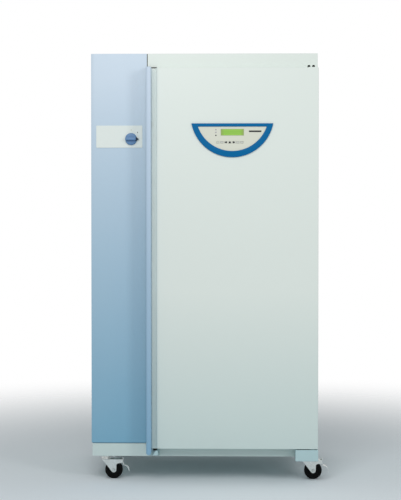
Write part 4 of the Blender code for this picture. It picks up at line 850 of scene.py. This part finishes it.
disc = turned(KNOB_PROFILE, Matrix.Translation((knob_x, face, knob_z)) @ UPRIGHT)
grip_low = (knob_x - GRIP_HALF_LONG, knob.front, knob_z - GRIP_HALF_HIGH)
grip = block(grip_low, (knob_x + GRIP_HALF_LONG, face - 0.006, knob_z + GRIP_HALF_HIGH), GRIP_EDGE)
add_piece(joined(disc, grip), "switch_knob", knob_blue, "main_switch", "main_switch_knob")
nose_x = knob_x + NOSE_FROM
nose_outline = [(nose_x, knob_z - NOSE_HALF_HIGH), (knob.right, knob_z), (nose_x, knob_z + NOSE_HALF_HIGH)]
nose = slab([nose_outline], face - NOSE_FRONT, face - NOSE_RIM, NOSE_RIM)
add_piece(nose, "switch_pointer", pointer_blue, "main_switch")

# %% Marks for off and on
OFF_MARK, OFF_RADII = (0.0010, 0.0405), (0.0028, 0.0020)
ON_MARK, ON_HALF_WIDE, ON_HALF_HIGH = (0.0285, 0.0290), 0.0011, 0.0032
off_at, on_at = ((knob_x + x, knob_z + z) for x, z in (OFF_MARK, ON_MARK))
rings = [arc(*off_at, radius, 0, 360, 32)[:-1] for radius in OFF_RADII]
printed(rings, face, "switch_mark_off", pale_print, "cabinet")
on_bar = [(on_at[0] + x, on_at[1] + z) for x, z in
          rectangle(-ON_HALF_WIDE, ON_HALF_WIDE, -ON_HALF_HIGH, ON_HALF_HIGH)]
printed([on_bar], face, "switch_mark_on", dark_print, "cabinet")

# %% [markdown]
# ## Wheels
# The solid wheel is a twenty-sided disc. The real one is a smooth rubber tyre on a nylon core, so it is turned in
# many steps from a profile with a rounded tread, a groove beside it and a hub boss.

# %% Smooth wheels
WHEEL_PROFILE = (
    (0.0055, 0.0135), (0.0110, 0.0135), (0.0122, 0.0127), (0.0130, 0.0095), (0.0262, 0.0092), (0.0274, 0.0122),
    (0.0282, 0.0130), (0.0300, 0.0130), (0.0306, 0.0122), (0.0316, 0.0122), (0.0324, 0.0129), (0.0366, 0.0124),
    (0.0388, 0.0104), (0.0397, 0.0070), (0.0400, 0.0030),
)
outline = [*WHEEL_PROFILE, *((radius, -along) for radius, along in reversed(WHEEL_PROFILE)), WHEEL_PROFILE[0]]
for place in WHEEL_PLACES:
    wheel = f"{place}_wheel"
    tyre = turned(outline, Matrix.Translation(Edges(wheel).middle) @ UPRIGHT.inverted())
    add_piece(tyre, f"{place}_tyre", tyre_black, wheel, wheel, smooth=30)

# %% [markdown]
# ## Trees for what repeats
# Screws, fins and wires repeat, so Geometry Nodes make them: a tree is written once and runs with other numbers.
# These helpers open a tree, repeat a shape along a line, close the tree with real geometry and its finish, and run
# it.


# %% Opening and closing a tree
def geometry_tree(name, **inputs):
    """An empty tree with inputs named by kind, as (graph, values of the inputs)."""
    tree = bpy.data.node_groups.new(name, "GeometryNodeTree")
    tree.interface.new_socket("Geometry", in_out="INPUT", socket_type="NodeSocketGeometry")
    for kind, labels in inputs.items():
        for label in labels:
            tree.interface.new_socket(label, in_out="INPUT", socket_type=f"NodeSocket{kind}")
    tree.interface.new_socket("Geometry", in_out="OUTPUT", socket_type="NodeSocketGeometry")
    graph = Graph(tree)
    given = tree.nodes.new("NodeGroupInput").outputs
    return graph, {socket.name: Value(graph, socket) for socket in given if socket.name}


def row_of(graph, shape, count, start, step):
    """A shape repeated along a line, whose start and step are given by the parts that aren't 0."""
    line = graph.node("GeometryNodeMeshLine", {"mode": "OFFSET"}, {
        "Count": count, "Start Location": graph.xyz(**start), "Offset": graph.xyz(**step),
    })
    return graph.node("GeometryNodeInstanceOnPoints", {}, {"Points": line, "Instance": shape})


def bar(graph, radius, length, lay):
    """A round bar about the origin, turned to lie along an axis."""
    upright = graph.node("GeometryNodeMeshCylinder", {}, {"Vertices": 10, "Radius": radius, "Depth": length})
    return graph.node("GeometryNodeTransform", {}, {"Geometry": upright, "Rotation": lay})


def close_tree(graph, geometry, material):
    """Ends a tree in real geometry with its finish."""
    real = graph.node("GeometryNodeRealizeInstances", {}, {0: geometry})
    dressed = graph.node("GeometryNodeSetMaterial", {}, {"Geometry": real, "Material": material})
    graph.node("NodeGroupOutput", {}, {0: dressed})
    return graph.tree


ACROSS, DEEP = (0.0, math.radians(90), 0.0), (math.radians(90), 0.0, 0.0)
print("trees can be opened and closed")


# %% Running a tree
def use_tree(drawn, tree, values):
    """Puts a tree on an object as a modifier, with values for its named inputs."""
    modifier = drawn.modifiers.new(tree.name, "NODES")
    modifier.node_group = tree
    for item in tree.interface.items_tree:
        if item.in_out == "INPUT" and item.name in values:
            modifier[item.identifier] = values[item.name]


def fill_solid(name, tree, node, finish, values):
    """Runs a tree in a solid's sizes, moves the result to its middle and lets it stand for the solid."""
    solid = Edges(node)
    piece = object_from(bmesh.new(), name)
    sizes = {"Width": solid.wide, "Depth": solid.deep, "Height": solid.tall, "Finish": finish.material}
    use_tree(piece, tree, {**sizes, **values})
    bake(piece).data.transform(Matrix.Translation(solid.middle))
    add_piece(piece, name, finish, "cabinet", node)


print("trees can be run on a piece or in a solid")

# %% [markdown]
# ## Screws by the dozen
# Dozens of screws differ only in place, direction and size. One tree takes points that know which way they face and
# puts a head with a cross recess on each.

# %% Screw tree
RECESS_LONG, RECESS_WIDE, RECESS_UP, HEAD_TOP = 1.1, 0.22, 0.95, 0.72
graph, given = geometry_tree(
    "screws on points", Float=("Head radius", "Head height"), Int=("Sides",), Material=("Finish",)
)
radius, height = given["Head radius"], given["Head height"]
head = graph.node("GeometryNodeMeshCone", {}, {
    "Vertices": given["Sides"], "Radius Top": radius * HEAD_TOP, "Radius Bottom": radius, "Depth": height,
})
slots = []
for x, y in ((RECESS_LONG, RECESS_WIDE), (RECESS_WIDE, RECESS_LONG)):
    slot = graph.node("GeometryNodeMeshCube", {}, {"Size": graph.xyz(X=radius * x, Y=radius * y, Z=height)})
    lift = graph.xyz(Z=height * RECESS_UP)
    slots.append(graph.node("GeometryNodeTransform", {}, {"Geometry": slot, "Translation": lift}))
cut = graph.node("GeometryNodeMeshBoolean", {"operation": "DIFFERENCE", "solver": "EXACT"},
                 {"Mesh 1": head, "Mesh 2": slots})
facing = graph.node("GeometryNodeInputNamedAttribute", {"data_type": "FLOAT_VECTOR"}, {"Name": "facing"})
turn = graph.node("FunctionNodeAlignRotationToVector", {"axis": "Z"}, {"Vector": facing})
on_points = {"Points": given["Geometry"], "Instance": cut, "Rotation": turn}
placed = graph.node("GeometryNodeInstanceOnPoints", {}, on_points)
screw_tree = close_tree(graph, placed, given["Finish"])
print("screw tree of", len(screw_tree.nodes), "nodes")


# %% Screws of the top hinge
def screws(name, places, body, head, finish, sides=24):
    """Heads of a radius and a height at places, each with the direction that it faces."""
    bm = bmesh.new()
    layer = bm.verts.layers.float_vector.new("facing")
    for place, facing in places:
        bm.verts.new(place)[layer] = Vector(facing)
    piece = object_from(bm, name)
    values = {"Head radius": head[0], "Head height": head[1], "Sides": sides, "Finish": finish.material}
    use_tree(piece, screw_tree, values)
    add_piece(bake(piece), name, finish, body, smooth=25)


flange = Edges("top_hinge_bracket")
HINGE_SCREWS_X, HINGE_HEAD = (0.4375, 0.4578), (0.0064, 0.0022)
hinge_screws = [((x, flange.back - 0.0028, flange.top - 0.0085), (0, -1, 0)) for x in HINGE_SCREWS_X]
screws("top_hinge_screws", hinge_screws, "cabinet", HINGE_HEAD, black_screw)

# %% [markdown]
# ## Screws of the back and the cap
# The back panel is screwed down all round, the cooling housing along its rear edges and the cap from its side. Even
# rows between two corners place them all.

# %% Rows of screws
back = Edges("back_panel")
SHEET_HEAD, SIDE_INSET, END_INSET, ABOVE_LOUVRES = (0.0042, 0.0020), 0.012, 0.030, 0.300
CAP_SCREWS_Y, CAP_SCREWS_UP, PANEL_THICK = (-0.22, 0.036, 0.29), 0.018, 0.0018
REAR = Edges("cabinet_casing").back + PANEL_THICK


def evenly(first, last, count):
    """Places at even distances, with both ends."""
    return [first + step * (last - first) / (count - 1) for step in range(count)]


def rear_rows(across, heights):
    return [((x, REAR, z), (0, 1, 0)) for z in heights for x in across]


ends = (back.bottom + END_INSET, back.top - END_INSET)
rear = [
    *rear_rows((back.left + SIDE_INSET, back.right - SIDE_INSET), evenly(*ends, 9)),
    *rear_rows(evenly(back.left, back.right, 5)[1:-1], ends),
    *rear_rows((housing.left + SIDE_INSET, housing.right - SIDE_INSET),
               evenly(housing.bottom + ABOVE_LOUVRES, housing.top - END_INSET, 9)),
]
screws("rear_screws", rear, "cabinet", SHEET_HEAD, zinc_plate)
sides = [((cap.right, y, cap.bottom + CAP_SCREWS_UP), (1, 0, 0)) for y in CAP_SCREWS_Y]
screws("cap_screws", sides, "cabinet", SHEET_HEAD, zinc_plate)
print("screws:", len(rear) + len(sides))

# %% [markdown]
# ## Caster plates
# Each caster hangs on a zinc plate with four hexagon bolts. The plate is punched round the swivel race, so it is a
# slab with a hole, laid flat. A bolt is a screw with six sides.

# %% Plates and bolts
base = Edges("base_frame")
PLATE_BACK, PLATE_FRONT, PLATE_WIDE, PLATE_CORNER = 0.030, 0.049, 0.080, 0.006
PLATE_THICK, PLATE_RIM = 0.0025, 0.0003
RACE_HOLE, TRAIL = 0.0252, 0.0355
BOLTS_X, BOLTS_Y, BOLT_HEAD = (-0.014, 0.040), (-0.032, 0.032), (0.0062, 0.0044)


def rounded_rectangle(half_wide, half_tall, radius):
    wide, tall = half_wide - radius, half_tall - radius
    corners = ((wide, -tall, -90), (wide, tall, 0), (-wide, tall, 90), (-wide, -tall, 180))
    return [point for x, y, start in corners for point in arc(x, y, radius, start, start + 90, 6)]


bolts, plates = [], []
half, middle = (PLATE_BACK + PLATE_FRONT) / 2, (PLATE_FRONT - PLATE_BACK) / 2
edge = [(middle + x, y) for x, y in rounded_rectangle(half, PLATE_WIDE / 2, PLATE_CORNER)]
race = arc(0, 0, RACE_HOLE, 0, 360, 48)[:-1]
for place in WHEEL_PLACES:
    wheel = Edges(f"{place}_wheel").middle
    pivot = Vector((wheel.x - TRAIL, wheel.y, base.bottom))
    flat = slab([edge, race], -PLATE_THICK / 2, PLATE_THICK / 2, PLATE_RIM)
    flat.data.transform(Matrix.Translation(pivot - Vector((0, 0, PLATE_THICK / 2))) @ UPRIGHT)
    plates.append(flat)
    bolts += [((pivot.x + x, pivot.y + y, base.bottom - PLATE_THICK), (0, 0, -1)) for x in BOLTS_X for y in BOLTS_Y]
add_piece(joined(*plates), "caster_plates", zinc_plate, "cabinet")
screws("caster_bolts", bolts, "cabinet", BOLT_HEAD, zinc_plate, 6)

# %% [markdown]
# ## Axle nuts
# Each wheel turns on a bolt through its fork, closed with hexagon nuts. They swivel with the fork, so every caster
# gets its own pair.

# %% Nuts on the forks
NUT_HEAD, NUT_STAND = (0.0066, 0.0021), 0.0022
for place in WHEEL_PLACES:
    wheel, fork = Edges(f"{place}_wheel").middle, Edges(f"{place}_caster_fork")
    nuts = [((wheel.x, fork.front + NUT_STAND, wheel.z), (0, -1, 0)),
            ((wheel.x, fork.back - NUT_STAND, wheel.z), (0, 1, 0))]
    screws(f"{place}_axle_nuts", nuts, f"{place}_caster", NUT_HEAD, zinc_plate, 6)

# %% [markdown]
# ## Fins of the two heat exchangers
# Condenser and evaporator are blocks of thin aluminium fins on copper tubes, and the solids only show a dozen thick
# ones. A tree lays thin sheets along a line and passes tubes through them.

# %% Fin tree
FIN, FIN_END, TUBE_RADIUS, TUBE_END = 0.0004, 0.0008, 0.0042, 0.014
graph, given = geometry_tree(
    "fins on tubes", Float=("Width", "Depth", "Height"), Int=("Fins", "Tubes"), Material=("Finish",)
)
width, height = given["Width"], given["Height"]
sheet = graph.node("GeometryNodeMeshCube", {}, {"Size": graph.xyz(X=FIN, Y=given["Depth"], Z=height)})
fins = row_of(graph, sheet, given["Fins"], {"X": width * -0.5 + FIN_END},
              {"X": (width - 2 * FIN_END) / (given["Fins"] - 1.0)})
tubes = row_of(graph, bar(graph, TUBE_RADIUS, width, ACROSS), given["Tubes"], {"Z": height * -0.5 + TUBE_END},
               {"Z": (height - 2 * TUBE_END) / (given["Tubes"] - 1.0)})
both = graph.node("GeometryNodeJoinGeometry", {}, {0: [fins, tubes]})
fin_tree = close_tree(graph, both, given["Finish"])

for node, fins, tubes in (("condenser", 70, 10), ("evaporator", 110, 16)):
    fill_solid(f"{node}_fins", fin_tree, node, fin_metal, {"Fins": fins, "Tubes": tubes})

# %% [markdown]
# ## Wire shelves
# The shelves are grids of polished wire: a thick frame, thin rods from front to back and two stiffening bars below. A
# tree makes one bar of each kind and repeats it along a line.

# %% Shelf tree
RODS, ROD_RADIUS = 28, 0.0014
graph, given = geometry_tree(
    "wire shelf", Float=("Width", "Depth", "Rod radius", "Frame radius"), Int=("Rods",), Material=("Finish",)
)
width, rod, thick = given["Width"], given["Rod radius"], given["Frame radius"]
inner_width, inner_depth = width - thick * 2.0, given["Depth"] - thick * 2.0
rods = row_of(graph, bar(graph, rod, inner_depth, DEEP), given["Rods"], {"X": inner_width * -0.5, "Z": thick * 0.3},
              {"X": inner_width / (given["Rods"] - 1.0)})
sides = row_of(graph, bar(graph, thick, inner_depth, DEEP), 2, {"X": inner_width * -0.5}, {"X": inner_width})
ends = row_of(graph, bar(graph, thick, width, ACROSS), 2, {"Y": inner_depth * -0.5}, {"Y": inner_depth})
below = row_of(graph, bar(graph, rod, inner_width, ACROSS), 2, {"Y": inner_depth * -0.18, "Z": thick * -0.3},
               {"Y": inner_depth * 0.36})
whole = graph.node("GeometryNodeJoinGeometry", {}, {0: [rods, sides, ends, below]})
shelf_tree = close_tree(graph, whole, given["Finish"])

for level in ("lower", "upper"):
    node = f"shelf_{level}"
    sizes = {"Rods": RODS, "Rod radius": ROD_RADIUS, "Frame radius": Edges(node).tall / 2}
    fill_solid(f"wire_{node}", shelf_tree, node, chrome_wire, sizes)

# %% [markdown]
# ## Door seal
# The magnetic seal is a soft bellows: a flat magnet strip in front, two folds, and a foot in the door. Its section is
# drawn once and a tree sweeps it along a rounded rectangle, with no joint at the corners.

# %% Seal section and path
seal = Edges("door_gasket")
SEAL_HALF, SEAL_BEND = 0.010, 0.002
HALF_SECTION = (
    (1.0, 0.5), (1.0, 0.34), (0.72, 0.28), (0.72, 0.12), (1.0, 0.04), (1.0, -0.12), (0.6, -0.2), (0.6, -0.36),
    (1.0, -0.42), (1.0, -0.5),
)
graph, given = geometry_tree("section along a path", Object=("Section",), Material=("Finish",))
drawn = graph.node("GeometryNodeObjectInfo", {}, {"Object": given["Section"]}, "Geometry")
along = {"Curve": given["Geometry"], "Profile Curve": drawn, "Fill Caps": False}
seal_tree = close_tree(graph, graph.node("GeometryNodeCurveToMesh", {}, along), given["Finish"])

whole_section = [*HALF_SECTION, *((-x, y) for x, y in reversed(HALF_SECTION))]
section = closed_curve("seal_section", [[(x * SEAL_HALF, y * seal.deep, 0.0) for x, y in whole_section]], "3D")
line = rounded_rectangle(seal.wide / 2 - SEAL_HALF, seal.tall / 2 - SEAL_HALF, SEAL_BEND)
path = closed_curve("seal_path", [[seal.middle + Vector((x, 0.0, z)) for x, z in line]], "3D")
use_tree(path, seal_tree, {"Section": section, "Finish": soft_seal.material})
add_piece(closed_object(merged(path), "door_seal"), "door_seal", soft_seal, "door", "door_gasket")
bpy.data.objects.remove(section)

# %% [markdown]
# ## Louvres on the back of the cooling housing
# Warm air leaves through slots in the rear, each pressed out into a small hood. A hood is a quarter arc of bent
# sheet, so its section is drawn, extruded to its width and repeated for every slot.

# %% Louvre hoods
condenser = Edges("condenser")
HOODS, HOOD_WIDTH, HOOD_REACH, HOOD_TOP, HOOD_DROP, HOOD_SHEET = 9, 0.186, 0.006, 0.008, 0.014, 0.001
hoods = []
for row in range(HOODS):
    z = condenser.bottom + (row + 0.5) * condenser.tall / HOODS + HOOD_TOP
    turns = [math.radians(15 * step) for step in range(7)]
    outer = [(housing.back + HOOD_REACH * math.sin(turn), z - HOOD_DROP * (1 - math.cos(turn))) for turn in turns]
    inner = [(y - HOOD_SHEET if y > housing.back + HOOD_SHEET else y, z - HOOD_SHEET) for y, z in outer]
    bm = bmesh.new()
    left = (condenser.left + condenser.right) / 2 - HOOD_WIDTH / 2
    bm.faces.new([bm.verts.new((left, y, z)) for y, z in outer + inner[::-1]])
    extruded = bmesh.ops.extrude_face_region(bm, geom=bm.faces[:])
    moved = [item for item in extruded["geom"] if isinstance(item, bmesh.types.BMVert)]
    bmesh.ops.translate(bm, vec=(HOOD_WIDTH, 0, 0), verts=moved)
    hoods.append(closed_object(bm, "hood"))
add_piece(joined(*hoods), "rear_louvres", white_enamel, "cabinet")

# %% [markdown]
# ## Small dark pieces
# A black glide under the door's lower left corner runs up the ramp, and a black strip in the joint beside the cap is
# painted shadow of the gap. Both are small bars, so blocks do.

# %% Door glide and painted joint shadow
# Painted shadow: a black strip inside the joint beside the cap darkens the gap.
shadow_strip_low = (cap.left + 0.0001, cap.front + 0.0010, cap.bottom + 0.0010)
shadow_strip = block(shadow_strip_low, (cap.left + 0.0029, cap.back - 0.0020, cap.top - 0.0012))
add_piece(shadow_strip, "joint_tape", tyre_black, "cabinet")
GLIDE_LEFT, GLIDE_RIGHT, GLIDE_BOTTOM = door.left + 0.0280, door.left + 0.0444, door.bottom - 0.0072
glide_low = (GLIDE_LEFT, door.front + GROOVE_DEPTH + 0.0010, GLIDE_BOTTOM)
glide = block(glide_low, (GLIDE_RIGHT, door.back - 0.0014, door.bottom + 0.0012), 0.0004)
add_piece(glide, "door_glide", dark_print, "door")

# %% [markdown]
# ## Floor, background and light
# A plain pale floor keeps the shadow and fades out to a white surround, so no horizon shows. One broad lamp high in
# front lights the upper half more than the lower. A smaller one from the right gives the handle its soft shadow, and
# the surround fills the rest. Camera and glass rays see pure white.

# %% Floor
FLOOR_HALF, FADE_FROM, FADE_TO = 12.0, 0.9, 3.6
FLOOR_PALE, FLOOR_DARK = (0.80, 0.87, 0.91), (0.76, 0.83, 0.87)
bm = bmesh.new()
bmesh.ops.create_grid(bm, x_segments=1, y_segments=1, size=FLOOR_HALF)
floor = object_from(bm, "floor")
pale = Finish("pale floor", None)
pale.tree.nodes.clear()
place = pale.node("ShaderNodeNewGeometry", {}, {}, "Position")
reach = pale.node("ShaderNodeVectorMath", {"operation": "LENGTH"}, {0: place}, "Value")
fade = pale.node("ShaderNodeMapRange", {"interpolation_type": "SMOOTHSTEP"}, {
    "Value": reach, "From Min": FADE_FROM, "From Max": FADE_TO,
})
speck = pale.node("ShaderNodeTexNoise", {}, {"Vector": place, "Scale": 60.0, "Detail": 3.0}, "Fac")
matt = pale.node("ShaderNodeBsdfDiffuse", {}, {"Color": pale.mix(speck * 0.3, FLOOR_PALE, FLOOR_DARK)})
through = pale.node("ShaderNodeBsdfTransparent", {}, {})
mixed = pale.node("ShaderNodeMixShader", {}, {0: fade, 1: matt, 2: through})
pale.node("ShaderNodeOutputMaterial", {}, {"Surface": mixed})
floor.data.materials.append(pale.material)
print("floor laid,", 2 * FLOOR_HALF, "m wide")

# %% Surround and lamps
SURROUND, GLOSS_LIFT = 0.45, 0.25
KEY_WATTS, SIDE_WATTS = 46.0, 25.0
world = bpy.data.worlds.new("white surround")
bpy.context.scene.world = world
world.use_nodes = True
world.node_tree.nodes.clear()
surround = Graph(world.node_tree)
seen, shining, through_glass = (
    surround.node("ShaderNodeLightPath", {}, {}, name)
    for name in ("Is Camera Ray", "Is Glossy Ray", "Is Transmission Ray")
)
strength = surround.math("MAXIMUM", seen, through_glass) * (1.0 - SURROUND) + SURROUND + shining * GLOSS_LIFT
lit = surround.node("ShaderNodeBackground", {}, {"Color": (1.0, 1.0, 1.0, 1.0), "Strength": strength})
surround.node("ShaderNodeOutputWorld", {}, {"Surface": lit})


def soft_lamp(name, place, aim, size, watts):
    lamp = bpy.data.lights.new(name, "AREA")
    lamp.shape = "RECTANGLE"
    lamp.size, lamp.size_y = size
    lamp.energy = watts
    made = in_scene(name, lamp)
    made.location = place
    made.rotation_euler = (Vector(aim) - Vector(place)).to_track_quat("-Z", "Y").to_euler()


soft_lamp("key", (-0.6, -3.4, 3.0), (-0.1, -0.3, 0.9), (1.5, 1.8), KEY_WATTS)
soft_lamp("side", (2.4, -3.3, 2.3), (0.0, -0.3, 1.1), (0.9, 1.4), SIDE_WATTS)
bpy.context.scene.view_settings.view_transform = "Standard"
print("surround", SURROUND, "key lamp", KEY_WATTS, "watts, side lamp", SIDE_WATTS, "watts")
